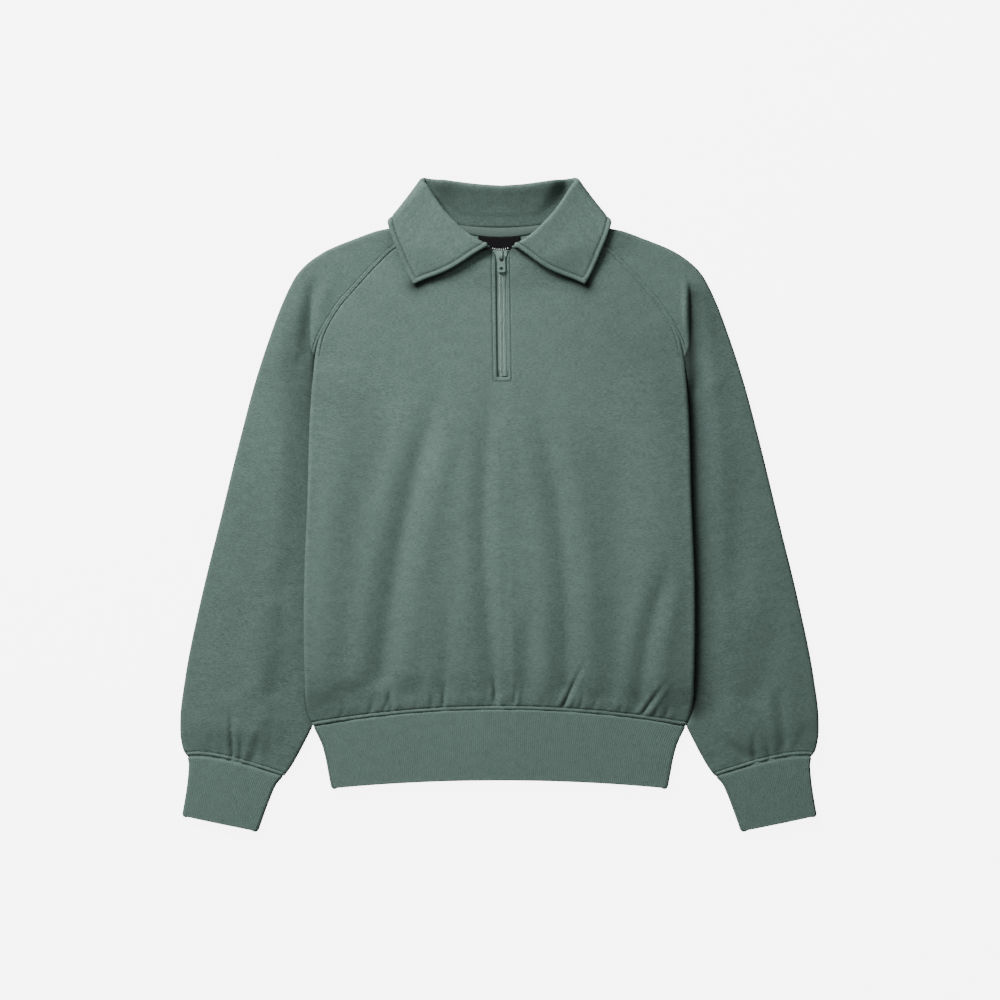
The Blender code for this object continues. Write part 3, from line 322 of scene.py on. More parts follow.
    def edge_profile(self, angle: float, steps: int) -> tuple[Grid, Grid]:
        """Shape of an edge rolled by an angle.

        Args:
            angle: the angle at the seam.
            steps: how many spans the roll has.

        Returns:
            Shares of the distance in from the edge, and of the fall there.
        """
        even = np.arange(steps + 1) / steps
        inset = even + (1.0 - np.cos(0.5 * math.pi * even) - even) * math.sin(angle)
        left = np.clip(math.sin(angle) - inset, 0.0, None)
        return inset, 1.0 - np.sqrt(1.0 - left * left)

    def hem_y(self, x: Any) -> Any:
        """Height of the hem seam across the body."""
        share = np.clip(np.abs(x) / self.hem_half, 0.0, 1.0)
        return self.hem_middle + (self.hem_side - self.hem_middle) * share ** 2

    def cuff_bow(self, x: Any, rise: float) -> Any:
        """Bow of a row at the cuff seam, fullest towards the sleeve's outer edge."""
        share = np.clip((self.cuff_x[1] - np.asarray(x, float)) / np.ptp(self.cuff_x), 0.0, 1.0)
        return rise * np.sin(math.pi * share ** 0.7)


LAY = Lay()


@dataclass(frozen=True)
class StitchLines:
    """Where the stitches run beside the seams and round the zip."""

    groove: float = 4.0
    line: float = 3.9
    cuff_line: float = 3.6
    raglan_low: float = 172.0
    left: float = -11.6
    right: float = 9.6
    bottom: float = 146.0
    top: float = 284.0

    def raglan(self, inset: Grid, y: Any) -> Grid:
        """Ridge and groove beside the raglan seam, gone at the underarm."""
        relief = 0.5 * bell(inset - 1.6, 1.3) - 0.8 * bell(inset - self.groove, 1.0)
        return relief * ramp(y, 170.0, 186.0)

    def band(self, above: Any, depth: float) -> Any:
        """Ridge and groove above the seam of a band."""
        return 0.7 * bell(above - 1.4, 1.1) - depth * bell(above - self.groove, 1.1)

    def box(self, offset: Grid, y: Grid) -> Grid:
        """Distance outside the line round the zip, less than 0 inside it."""
        beside = np.maximum(self.left - offset, offset - self.right)
        return np.maximum(beside, self.bottom - y)

    def zip_relief(self, offset: Grid, y: Grid) -> Grid:
        """Grooves of the line round the zip, and the fuller cloth inside it.

        Args:
            offset: distances from the zip's middle line.
            y: heights on the panel.

        Returns:
            Heights to add.
        """
        sides = bell(offset - self.left, 1.0) + bell(offset - self.right, 1.0)
        bottom = bell(y - self.bottom, 1.0)
        bottom = bottom * ramp(offset, -13.0, -11.0) * ramp(offset, 11.0, 9.4)
        band = ramp(offset, self.left, -10.0) * ramp(offset, self.right, 8.0)
        band = band * ramp(y, self.bottom, 147.6)
        return 0.35 * band - 0.5 * sides * ramp(y, 141.0, 143.5) - 0.5 * bottom


LINES = StitchLines()


@dataclass(frozen=True)
class PaintedShade:
    """Painted shade: cloth painted darker where shade falls, under the collar's edges, beside the
    body and over the front.
    """

    short_end: tuple = ((10.0, 23.0, 40.0, 58.0, 78.0, 101.5),
                        (304.5, 302.5, 293.5, 281.5, 269.5, 259.0))
    long_edge: tuple = ((102.0, 112.0, 120.0, 129.5), (260.5, 281.0, 300.0, 327.0))
    short_reach: float = 7.0
    long_reach: float = 8.0
    # Painted shadow strength for each side: the side, under the short end, under the long edge.
    shadow_depths: tuple = ((-1, 0.93, 0.25), (1, 0.91, 0.5))
    lean_x: float = 1.8
    crease_x: float = 223.5

    @staticmethod
    def away(x: Grid, y: Grid, line: tuple) -> Grid:
        """Distance of points from a line through a table's points.

        Args:
            x: places across.
            y: heights.
            line: the line's places and heights.

        Returns:
            The distances.
        """
        at = np.linspace(0.0, len(line[0]) - 1, 40)
        px, py = refine(line[0], at), refine(line[1], at)
        return np.hypot(x[..., None] - px, y[..., None] - py).min(axis=-1)

    def collar(self, x: Grid, y: Grid) -> Grid:
        """Painted shadow on the cloth that lies beside the collar's free edges.

        Args:
            x: places across.
            y: heights.

        Returns:
            Shares of the cloth's colour.
        """
        tone_and_painted_shade = np.ones_like(x)
        for side, short, long in self.shadow_depths:
            across = side * (x - self.lean_x)
            for line, depth, reach in ((self.short_end, short, self.short_reach),
                                       (self.long_edge, long, self.long_reach)):
                away = self.away(across, y, line)
                tone_and_painted_shade = tone_and_painted_shade * (1.0 - depth * np.exp(-(away / reach) ** 1.3))
        return tone_and_painted_shade

    def beside_body(self, x: Grid, y: Grid, side: int) -> Grid:
        """Painted shadow on a sleeve where it goes down beside the body's edge.

        Args:
            x: places across.
            y: heights.
            side: 1 for the left sleeve, -1 for the right.

        Returns:
            Shares of the cloth's colour.
        """
        upper = ramp(y, 168.0, 190.0)
        line = LAY.front_seam.at(y) * (1.0 - upper) + self.crease_x * upper
        away = np.abs(x) - line
        started = np.where(upper > 0.0, ramp(away, -1.5, 1.0), 1.0)
        # Strength and reach of the painted shadow on each sleeve.
        if side > 0:
            depth = 0.80 * ramp(y, 268.0, 246.0) * ramp(y, -262.0, -240.0)
            reach, power = 18.5, 1.35
        else:
            depth = follow((-250.0, -100.0, 64.0, 158.0, 200.0, 262.0),
                           (0.12, 0.22, 0.40, 0.58, 0.42, 0.0), y)
            reach, power = 20.0, 1.2
        fall = np.exp(-(np.clip(away, 0.0, None) / reach) ** power)
        return 1.0 - depth * fall * started

    @staticmethod
    def front(x: Grid, y: Grid) -> Grid:
        """Painted shade on the front: a little deeper to the left, above the hem and under the
        arms.
        """
        tone_and_painted_shade = 1.0 - 0.12 * ramp(x, 10.0, 190.0) - 0.10 * ramp(y, -60.0, -225.0)
        return tone_and_painted_shade - 0.20 * bell(y - 148.0, 34.0) * ramp(np.abs(x), 130.0, 205.0)


PAINTED_SHADE = PaintedShade()


# ---- meshes ----------------------------------------------------------------------------------


def solid(name: str, points: Grid, faces: Any) -> bpy.types.Object:
    """Smooth-shaded object from points in millimetres.

    Args:
        name: the piece's name.
        points: its points.
        faces: its faces, as rows of indices.

    Returns:
        The object, in the scene.
    """
    mesh = bpy.data.meshes.new(name)
    mesh.from_pydata((np.asarray(points) * MM).tolist(), [], [list(face) for face in faces])
    mesh.shade_smooth()
    mesh.update()
    made = bpy.data.objects.new(name, mesh)
    bpy.context.collection.objects.link(made)
    return made


@dataclass
class Shell:
    """Wall of cloth about a grid of middle points, with rounded edges."""

    name: str
    grid: Grid
    thickness: Any
    closed: bool = False
    missing: Grid | None = None
    weave: Grid | None = None
    sewn: Grid | None = None
    # Share of the cloth's colour at each point, used to paint shade into it.
    tone_and_painted_shade: Grid | None = None
    edge_share: float = 0.72
    edge_bulge: float = 0.4
    most_bulge: float = 0.6

    def normals(self) -> Grid:
        """Unit normals of the grid's points.

        Returns:
            One normal for each point.
        """
        down = np.gradient(self.grid, axis=0, edge_order=2)
        if self.closed:
            across = np.roll(self.grid, -1, axis=1) - np.roll(self.grid, 1, axis=1)
        else:
            across = np.gradient(self.grid, axis=1, edge_order=2)
        normal = np.cross(across, down)
        length = np.linalg.norm(normal, axis=2, keepdims=True)
        return normal / np.where(length > 0.0, length, 1.0)

    def half(self) -> Grid:
        """Half of the wall at each point."""
        return 0.5 * np.broadcast_to(np.asarray(self.thickness, float), self.grid.shape[:2])

    def cells(self) -> tuple[Grid, Grid]:
        """The wall's cells and its boundary edges.

        Returns:
            Corner indices of each cell, and the directed edges that one cell alone has.
        """
        rows, columns = self.grid.shape[:2]
        spans = columns if self.closed else columns - 1
        keep = np.ones((rows - 1, spans), bool)
        if self.missing is not None:
            keep &= ~self.missing
        index = np.arange(rows * columns).reshape(rows, columns)
        j, i = np.nonzero(keep)
        k = (i + 1) % columns
        quads = np.stack([index[j, i], index[j, k], index[j + 1, k], index[j + 1, i]], axis=1)
        edges = np.concatenate([quads[:, [n, (n + 1) % 4]] for n in range(4)])
        key = edges.min(axis=1) * index.size + edges.max(axis=1)
        _, first, count = np.unique(key, return_index=True, return_counts=True)
        return quads, edges[first[count == 1]]

    @staticmethod
    def outwards(middle: Grid, normal: Grid, quads: Grid, edge: Grid) -> Grid:
        """Unit directions out of the wall at its boundary points.

        Args:
            middle: the wall's middle points.
            normal: the normals there.
            quads: corner indices of the cells.
            edge: indices of the boundary points.

        Returns:
            A direction for each boundary point.
        """
        out = np.zeros_like(middle)
        centre = middle[quads].mean(axis=1)
        for corner in range(4):
            np.add.at(out, quads[:, corner], middle[quads[:, corner]] - centre)
        out = out[edge] - normal[edge] * (out[edge] * normal[edge]).sum(axis=1, keepdims=True)
        return out / np.maximum(np.linalg.norm(out, axis=1, keepdims=True), 1e-9)

    def make(self) -> bpy.types.Object:
        """Closed wall as an object that carries the cloth's grain, stitch lines and painted shade.

        Returns:
            The object, in the scene.
        """
        quads, rim = self.cells()
        middle = self.grid.reshape(-1, 3)
        normal = self.normals().reshape(-1, 3)
        half = self.half().reshape(-1, 1).copy()
        count = len(middle)
        edge = np.unique(rim)
        reach = np.minimum(half[edge], self.most_bulge) * self.edge_bulge
        bulge = middle[edge] + self.outwards(middle, normal, quads, edge) * reach
        half[edge] *= self.edge_share
        bulge_of = np.full(count, -1)
        bulge_of[edge] = 2 * count + np.arange(len(edge))
        points = np.concatenate([middle + normal * half, middle - normal * half, bulge])
        a, b = rim[:, 0], rim[:, 1]
        faces = np.concatenate([
            quads, quads[:, ::-1] + count,
            np.stack([b, a, bulge_of[a], bulge_of[b]], axis=1),
            np.stack([bulge_of[b], bulge_of[a], a + count, b + count], axis=1)])
        turn = np.cross(middle[quads[:, 1]] - middle[quads[:, 0]],
                        middle[quads[:, 3]] - middle[quads[:, 0]])
        if (turn * normal[quads[:, 0]]).sum() < 0.0:
            faces = faces[:, ::-1]
        used = np.zeros(len(points), bool)
        used[faces.reshape(-1)] = True
        made = solid(self.name, points[used], (np.cumsum(used) - 1)[faces])
        weave = (self.grid if self.weave is None else self.weave).reshape(-1, 3) * MM
        # The last attribute carries the painted shade that the finish multiplies into the colour.
        for name, kind, key, values in (("grain", "FLOAT_VECTOR", "vector", weave),
                                        ("sewn", "FLOAT", "value", self.filled(self.sewn, FAR)),
                                        ("tone_and_painted_shade", "FLOAT", "value", self.filled(self.tone_and_painted_shade, 1.0))):
            carried = np.concatenate([values, values, values[edge]])[used].astype(np.float32)
            layer = made.data.attributes.new(name, kind, "POINT")
            layer.data.foreach_set(key, carried.reshape(-1))
        return made

    def filled(self, values: Grid | None, default: float) -> Grid:
        """One value for each point of the grid, or the default everywhere."""
        count = self.grid.shape[0] * self.grid.shape[1]
        return np.full(count, default) if values is None else np.asarray(values).reshape(-1)


def read_grid(grid: Grid, row: Grid, column: Grid) -> Grid:
    """Points of a grid at fractional rows and columns.

    Args:
        grid: rows x columns x 3 values.
        row: fractional rows.
        column: fractional columns.

    Returns:
        One interpolated value for each pair.
    """
    j = np.clip(np.floor(row).astype(int), 0, grid.shape[0] - 2)
    i = np.clip(np.floor(column).astype(int), 0, grid.shape[1] - 2)
    v = (row - j)[:, None]
    u = (column - i)[:, None]
    upper = grid[j, i] * (1 - u) + grid[j, i + 1] * u
    lower = grid[j + 1, i] * (1 - u) + grid[j + 1, i + 1] * u
    return upper * (1 - v) + lower * v


@dataclass
class Rods:
    """Small rods with closed ends, gathered into one mesh."""

    name: str
    sides: int = 8
    points: list[Grid] = field(default_factory=list)
    faces: list[list[int]] = field(default_factory=list)

    def add(self, rings: list[tuple[Grid, Grid, Grid]]) -> None:
        """Add a rod through rings.

        Args:
            rings: each ring's centre and two half axes, which turn against the rod's way.
        """
        start, sides = len(self.points), self.sides
        last = start + (len(rings) - 1) * sides
        for centre, across, up in rings:
            for angle in 2.0 * math.pi * np.arange(sides) / sides:
                self.points.append(centre + across * math.cos(angle) + up * math.sin(angle))
        for base in range(start, last, sides):
            for step in range(sides):
                after = (step + 1) % sides
                self.faces.append([base + step, base + after, base + sides + after,
                                   base + sides + step])
        self.faces.append([start + step for step in reversed(range(sides))])
        self.faces.append([last + step for step in range(sides)])

    def make(self) -> bpy.types.Object:
        """All rods as one object."""
        return solid(self.name, np.array(self.points), self.faces)


@dataclass
class Thread(Rods):
    """Rows of stitches."""

    sides: int = 6
    radius: float = 0.32
    length: float = 2.7
    pitch: float = 3.4
    profile: tuple = ((-1.0, 0.45, -0.25), (-0.6, 1.0, 0.1), (0.6, 1.0, 0.1), (1.0, 0.45, -0.25))

    def sew(self, path: Grid, normals: Grid) -> None:
        """Lay stitches end to end along a line on the cloth.

        Args:
            path: points of the line on the cloth's face.
            normals: the face's normals there, pointing out of the cloth.
        """
        run = np.concatenate([[0.0], np.cumsum(np.linalg.norm(np.diff(path, axis=0), axis=1))])

        def at(where: float, source: Grid) -> Grid:
            """Value along the line at a length."""
            return np.array([np.interp(where, run, source[:, n]) for n in range(3)])

        for place in np.arange(0.5 * self.pitch, run[-1] - 0.4 * self.pitch, self.pitch):
            way = unit(at(place + 1.0, path) - at(place - 1.0, path) + 1e-9)
            up = unit(at(place, normals))
            side = unit(np.cross(way, up))
            self.add([(at(place + 0.5 * self.length * along, path) + up * self.radius * lift,
                       side * self.radius * wide, up * self.radius * wide)
                      for along, wide, lift in self.profile])


@dataclass
class Bead(Rods):
    """Rods with round ends."""

    sides: int = 10
    turns: tuple[float, ...] = (1.4, 0.9, 0.4)

    def line(self, path: Any, radius: float) -> None:
        """Add rods end to end along a path.

        Args:
            path: the centres of the round ends.
            radius: the rods' radius.
        """
        for start, end in zip(np.array(path[:-1]), np.array(path[1:])):
            way = unit(end - start)
            side = unit(np.cross(way, (0.13, 0.21, 0.97)))
            up = np.cross(side, way)
            caps = [(start, -turn) for turn in self.turns]
            caps += [(end, turn) for turn in reversed(self.turns)]
            self.add([(centre + way * radius * math.sin(turn), side * radius * math.cos(turn),
                       up * radius * math.cos(turn)) for centre, turn in caps])


# ---- shader graph ----------------------------------------------------------------------------


class Value:
    """A socket that takes part in arithmetic."""

    def __init__(self, graph: Graph, socket: bpy.types.NodeSocket) -> None:
        """Keep the graph and the socket."""
        self.graph = graph
        self.socket = socket

    def maths(self, operation: str, *values: Any) -> Value:
        """Math node on values."""
        return self.graph.node("ShaderNodeMath", {"operation": operation}, dict(enumerate(values)))

    def __add__(self, other: Any) -> Value:
        """Sum."""
        return self.maths("ADD", self, other)

    __radd__ = __add__

    def __mul__(self, other: Any) -> Value:
        """Product."""
        return self.maths("MULTIPLY", self, other)

    __rmul__ = __mul__

    def sine(self) -> Value:
        """Sine."""
        return self.maths("SINE", self)

    def __abs__(self) -> Value:
        """Size without the sign."""
        return self.maths("ABSOLUTE", self)


class Graph:
    """Node tree of one material."""

    def __init__(self, name: str) -> None:
        """Start a material with its shader and output alone.

        Args:
            name: the material's name.
        """
        self.material = bpy.data.materials.new(name)
        self.material.use_nodes = True
        self.tree = self.material.node_tree
        self.shader = self.tree.nodes["Principled BSDF"]

    def node(self, kind: str, settings: dict[str, Any] | None = None,
             inputs: dict[Any, Any] | None = None, output: Any = 0) -> Value:
        """Add a node.

        Args:
            kind: the node's type.
            settings: its settings.
            inputs: values or links of its sockets, by name or index.
            output: the output that is read.

        Returns:
            The output as a value.
        """
        made = self.tree.nodes.new(kind)
        for key, value in (settings or {}).items():
            setattr(made, key, value)
        for key, value in (inputs or {}).items():
            self.feed(made.inputs[key], value)
        return Value(self, made.outputs[output])

    def feed(self, socket: bpy.types.NodeSocket, value: Any) -> None:
        """Link or set a socket.

        Args:
            socket: the socket.
            value: its value, or what is linked to it.
        """
        if isinstance(value, Value):
            self.tree.links.new(value.socket, socket)
        else:
            socket.default_value = value

    def finish(self, sockets: dict[str, Any]) -> bpy.types.Material:
        """Feed the shader.

        Args:
            sockets: values or links of the shader's sockets, by name.

        Returns:
            The material.
        """
        for name, value in sockets.items():
            self.feed(self.shader.inputs[name], value)
        return self.material

    def scaled(self, source: Value, scale: tuple[float, float, float]) -> Value:
        """Coordinates scaled by axis."""
        return self.node("ShaderNodeVectorMath", {"operation": "MULTIPLY"}, {0: source, 1: scale})

    def grain(self, *scale: float) -> Value:
        """Coordinates along the cloth's grain, scaled by axis."""
        source = self.node("ShaderNodeAttribute", {"attribute_name": "grain"}, output="Vector")
        return self.scaled(source, scale)

    def object_place(self, scale: float) -> Value:
        """Coordinates in the object, scaled."""
        return self.scaled(self.node("ShaderNodeTexCoord", output="Object"), (scale,) * 3)

    def field(self, name: str) -> Value:
        """Number that the mesh carries under a name."""
        return self.node("ShaderNodeAttribute", {"attribute_name": name}, output="Fac")

    def axis(self, vector: Value, number: int) -> Value:
        """One axis of a vector."""
        return self.node("ShaderNodeSeparateXYZ", None, {0: vector}, output=number)

    def noise(self, place: Value, detail: float = 2.0, roughness: float = 0.5) -> Value:
        """Noise between 0 and 1 at coordinates that are already scaled."""
        return self.node("ShaderNodeTexNoise", None, {
            "Vector": place, "Scale": 1.0, "Detail": detail, "Roughness": roughness})

    def spread(self, value: Value, low: float, high: float) -> Value:
        """Value stretched so that low becomes 0 and high 1."""
        return self.node("ShaderNodeMapRange", {"clamp": True}, {
            "Value": value, "From Min": low, "From Max": high})

    def mix(self, share: Any, first: Any, second: Any) -> Value:
        """Colour between two colours."""
        return self.node("ShaderNodeMix", {"data_type": "RGBA"},
                         {0: share, 6: first, 7: second}, output=2)

    def bump(self, height: Value, distance: float, strength: float = 1.0) -> Value:
        """Normal bent by a height."""
        return self.node("ShaderNodeBump", None, {
            "Strength": strength, "Distance": distance, "Height": height})


Colour = tuple[float, float, float]


def tint(colour: Colour, share: float) -> tuple[float, float, float, float]:
    """Colour made lighter or darker by a share, as a socket takes it."""
    return tuple(min(1.0, part * share) for part in colour) + (1.0,)


class Grain(Enum):
    """Surface of a cloth."""

    BRUSHED = "brushed"
    RIBBED = "ribbed"


@dataclass(frozen=True)
class KnitFinish:
    """Heather knit with a soft nap, brushed flat or ribbed."""

    name: str
    colour: Colour
    grain: Grain = Grain.BRUSHED
    contrast: float = 1.0
    heather: float = 0.58
    rib_pitch: float = 2.6
    stitch_half: float = 1.15

    def make(self) -> bpy.types.Material:
        """Material of the knit.

        Returns:
            The material.
        """
        graph = Graph(self.name)
        streaks = graph.noise(graph.grain(260.0, 1500.0, 400.0), 3.0, 0.6)
        specks = graph.noise(graph.grain(1500.0, 1900.0, 1500.0), 2.0, 0.7)
        nap = graph.noise(graph.grain(75.0, 120.0, 60.0), 3.0, 0.55)
        broad = graph.noise(graph.grain(9.0, 7.0, 9.0), 2.0, 0.5)
        tone_and_painted_shade = (graph.spread(streaks, 0.32, 0.68) * 0.48 + graph.spread(specks, 0.3, 0.7) * 0.32
                + graph.spread(nap, 0.3, 0.7) * 0.12 + graph.spread(broad, 0.3, 0.7) * 0.08)
        height = streaks * 0.45 + specks * 0.35 + nap * 0.9
        if self.grain is Grain.RIBBED:
            turns = 2.0 * math.pi / (MM * self.rib_pitch)
            ribs = graph.axis(graph.grain(turns, 1.0, 1.0), 0).sine() * 0.5 + 0.5
            tone_and_painted_shade = tone_and_painted_shade * 0.86 + ribs * 0.14
            height = height * 0.8 + ribs * 0.55
        spread = self.heather * self.contrast
        heather = graph.mix(tone_and_painted_shade, tint(self.colour, 1.0 - spread), tint(self.colour, 1.0 + spread))
        # Painted shade: the colour is darkened in a thin line along each stitch groove and by the
        # painted shade the mesh carries; the groove is also bumped.
        clear = graph.spread(abs(graph.field("sewn")), 0.15, self.stitch_half)
        shade = graph.field("tone_and_painted_shade") * (clear * 0.55 + 0.45)
        knit = graph.node("ShaderNodeVectorMath", {"operation": "SCALE"},
                          {0: heather, "Scale": shade})
        return graph.finish({
            "Base Color": knit,
            "Normal": graph.bump(height + clear * 0.5, 0.0005, 0.75),
            "Roughness": 0.92,
            "Sheen Weight": 0.25,
            "Sheen Roughness": 0.45,
            "Sheen Tint": tint(self.colour, 2.6),
            "Specular IOR Level": 0.25})


@dataclass(frozen=True)
class WovenFinish:
    """Close plain weave, as on tape and label."""

    name: str
    colour: Colour
    pitch: float = 0.55
    roughness: float = 0.75
    specular: float = 0.4

    def make(self) -> bpy.types.Material:
        """Material of the weave.

        Returns:
            The material.
        """
        graph = Graph(self.name)
        turns = 2.0 * math.pi / (MM * self.pitch)
        threads = graph.grain(turns, turns, turns)
        height = graph.axis(threads, 0).sine() * graph.axis(threads, 1).sine() * 0.5 + 0.5
        tone_and_painted_shade = height * 0.5 + graph.noise(graph.grain(500.0, 500.0, 500.0)) * 0.5
        return graph.finish({
            "Base Color": graph.mix(tone_and_painted_shade, tint(self.colour, 0.82), tint(self.colour, 1.18)),
            "Normal": graph.bump(height, 0.00012, 0.6),
            "Roughness": self.roughness,
            "Specular IOR Level": self.specular})


@dataclass(frozen=True)
class ThreadFinish:
    """Twisted sewing thread or nylon."""

    name: str
    colour: Colour
    roughness: float = 0.6

    def make(self) -> bpy.types.Material:
        """Material of the thread.

        Returns:
            The material.
        """
        graph = Graph(self.name)
        fibres = graph.noise(graph.object_place(2600.0))
        return graph.finish({
            "Base Color": graph.mix(fibres, tint(self.colour, 0.8), tint(self.colour, 1.2)),
            "Normal": graph.bump(fibres, 0.00006),
            "Roughness": self.roughness})


@dataclass(frozen=True)
class EnamelFinish:
    """Satin enamel on cast metal, a little worn where it is handled."""

    name: str
    colour: Colour

    def make(self) -> bpy.types.Material:
        """Material of the enamel.

        Returns:
            The material.
        """
        graph = Graph(self.name)
        mottle = graph.noise(graph.object_place(900.0), 3.0)
        worn = graph.spread(graph.noise(graph.object_place(260.0), 4.0), 0.55, 0.8)
        paint = graph.mix(mottle, tint(self.colour, 0.85), tint(self.colour, 1.15))
        return graph.finish({
            "Base Color": graph.mix(worn * 0.35, paint, tint(self.colour, 1.7)),
            "Roughness": 0.34 + mottle * 0.16,
            "Normal": graph.bump(mottle, 0.00004),
            "Metallic": 0.35})


@dataclass(frozen=True)
class FloorFinish:
    """Plain pale floor, lit from beneath so that it stays even."""

    name: str = "floor"
    colour: Colour = (0.45, 0.45, 0.45)
    glow: float = 6.4

    def make(self) -> bpy.types.Material:
        """Material of the floor.

        Returns:
            The material.
        """
        return Graph(self.name).finish({
            "Base Color": (*self.colour, 1.0),
            "Roughness": 0.9,
            "Specular IOR Level": 0.1,
            "Emission Color": (1.0, 1.0, 1.0, 1.0),
            "Emission Strength": self.glow})


# ---- folds -----------------------------------------------------------------------------------


@dataclass(frozen=True)
class LongFold:
    """Long soft fold down the front through three points."""

    start: tuple[float, float]
    middle: tuple[float, float]
    end: tuple[float, float]
    half: float
    depth: float

    def height(self, x: Grid, y: Grid) -> Grid:
        """Height that the fold adds.

        Args:
            x: places across.
            y: heights.

        Returns:
            Heights.
        """
        xs, ys = zip(self.end, self.middle, self.start)
        length = self.start[1] - self.end[1]
        fade = ramp(y, self.start[1] + 0.1 * length, self.start[1] - 0.3 * length)
        fade = fade * ramp(y, self.end[1] - 8.0, self.end[1] + 12.0)
        return trough(x - follow(ys, xs, y), self.half, self.depth) * fade


@dataclass(frozen=True)
class Gather:
    """Short pleat where cloth is sewn to a narrower band."""

    x: float
    slant: float
    length: float
    depth: float
    half: float = 6.5

    def height(self, x: Grid, above: Grid) -> Grid:
        """Height that the pleat adds.

        Args:
            x: places across.
            above: heights above the band's seam.

        Returns:
            Heights.
        """
        line = self.x + self.slant * above
        fade = ramp(above, 1.3 * self.length, 0.0) * ramp(above, 3.0, 9.5)
        return trough(x - line, self.half, self.depth) * fade


@dataclass(frozen=True)
class Crease:
    """Straight crease between two points, steeper on its inner side by the skew."""

    start: tuple[float, float]
    end: tuple[float, float]
    half: float
    depth: float
    skew: float = 1.0

    def height(self, x: Grid, y: Grid) -> Grid:
        """Height that the crease adds.

        Args:
            x: places across.
            y: heights.

        Returns:
            Heights.
        """
        dx, dy = self.end[0] - self.start[0], self.end[1] - self.start[1]
        span = math.hypot(dx, dy)
        right, up = x - self.start[0], y - self.start[1]
        across = (right * dy - up * dx) / span
        along = (right * dx + up * dy) / span
        across = across * np.where(across > 0.0, self.skew, 1.0 / self.skew)
        fade = ramp(along, -14.0, 10.0) * ramp(along, span + 6.0, span - 8.0)
        return trough(across, self.half, self.depth) * fade


FRONT_FOLDS = (
    LongFold((-73.0, 138.0), (-109.0, -10.0), (-141.0, -214.0), 15.0, 3.6),
    LongFold((-12.0, 138.0), (-18.0, -30.0), (-4.0, -236.0), 11.0, 2.3),
    LongFold((44.0, 128.0), (74.0, -30.0), (83.0, -226.0), 14.0, 3.0),
    LongFold((198.0, -70.0), (176.0, -160.0), (165.0, -244.0), 11.0, 3.0),
    LongFold((-160.0, 60.0), (-176.0, -70.0), (-183.0, -232.0), 18.0, 1.5),
    LongFold((128.0, 60.0), (140.0, -70.0), (136.0, -232.0), 20.0, 1.3),
    LongFold((-64.0, -96.0), (-62.0, -160.0), (-66.0, -236.0), 10.0, 1.5),
    LongFold((32.0, -120.0), (34.0, -170.0), (27.0, -236.0), 11.0, 1.3),
)
HEM_GATHERS = tuple(Gather(*row) for row in (
    (-206, 0.2, 14, 0.8, 2.6), (-187, 0.15, 18, 1.0, 3.0), (-169, -0.05, 12, 0.7, 2.6),
    (-153, 0.15, 24, 1.5, 3.2), (-138, 0.3, 26, 1.7, 2.8), (-127, -0.1, 34, 2.4, 3.2),
    (-112, 0.1, 10, 0.6, 2.4), (-99, 0.12, 16, 0.8, 2.8), (-79, -0.1, 24, 1.6, 2.6),
    (-66, 0.02, 30, 2.3, 2.6), (-47, 0.15, 11, 0.6, 2.4), (-31, -0.1, 18, 0.9, 3.0),
    (-9, 0.1, 22, 1.4, 2.6), (-2, -0.12, 42, 2.3, 3.0), (16, 0.1, 26, 2.1, 2.6),
    (33, 0.25, 12, 0.7, 2.8), (52, -0.1, 15, 0.9, 3.0), (73, 0.46, 58, 2.6, 3.0),
    (95, 0.2, 24, 1.7, 2.6), (110, 0.25, 18, 1.3, 2.8), (126, 0.1, 11, 0.6, 2.4),
    (141, 0.25, 18, 1.0, 2.8), (155, 0.1, 11, 0.6, 2.4), (166, 0.62, 46, 2.8, 3.2),
    (182, 0.3, 16, 1.0, 2.8), (195, 0.25, 20, 1.2, 2.8), (208, 0.2, 14, 0.8, 2.6)))
SLEEVE_CREASES = {
    1: (Crease((225.8, 260.0), (226.5, 130.0), 6.0, 4.6, 1.9),
        Crease((229.0, 150.0), (237.0, -60.0), 9.0, 2.4, 1.6),
        Crease((237.0, -50.0), (238.0, -244.0), 9.0, 2.4, 1.6),
        Crease((330.0, -226.0), (339.0, -292.0), 7.0, 2.6),
        Crease((364.0, -262.0), (346.0, -296.0), 4.5, 1.8),
        Crease((265.0, -282.0), (296.0, -302.0), 6.0, 1.8),
        Crease((300.0, -276.0), (303.0, -306.0), 3.6, 1.3),
        Crease((318.0, -284.0), (321.0, -304.0), 3.0, 1.1),
        Crease((322.0, 60.0), (258.0, -120.0), 26.0, 1.6),
        Crease((352.0, -100.0), (300.0, -236.0), 20.0, 1.6)),
    -1: (Crease((222.0, 262.0), (224.0, 172.0), 8.0, 2.8),
         Crease((250.0, -70.0), (262.0, -230.0), 13.0, 2.0),
         Crease((317.0, -254.0), (315.0, -302.0), 3.0, 3.0),
         Crease((305.0, -286.0), (308.0, -306.0), 2.8, 1.2),
         Crease((284.0, -272.0), (293.0, -308.0), 5.0, 1.4),
         Crease((340.0, -276.0), (343.0, -298.0), 4.0, 0.9),
         Crease((268.0, -250.0), (276.0, -300.0), 8.0, 1.2),
         Crease((316.0, 50.0), (262.0, -110.0), 26.0, 1.6),
         Crease((346.0, -90.0), (318.0, -226.0), 22.0, 1.5)),
}


# ---- body ------------------------------------------------------------------------------------


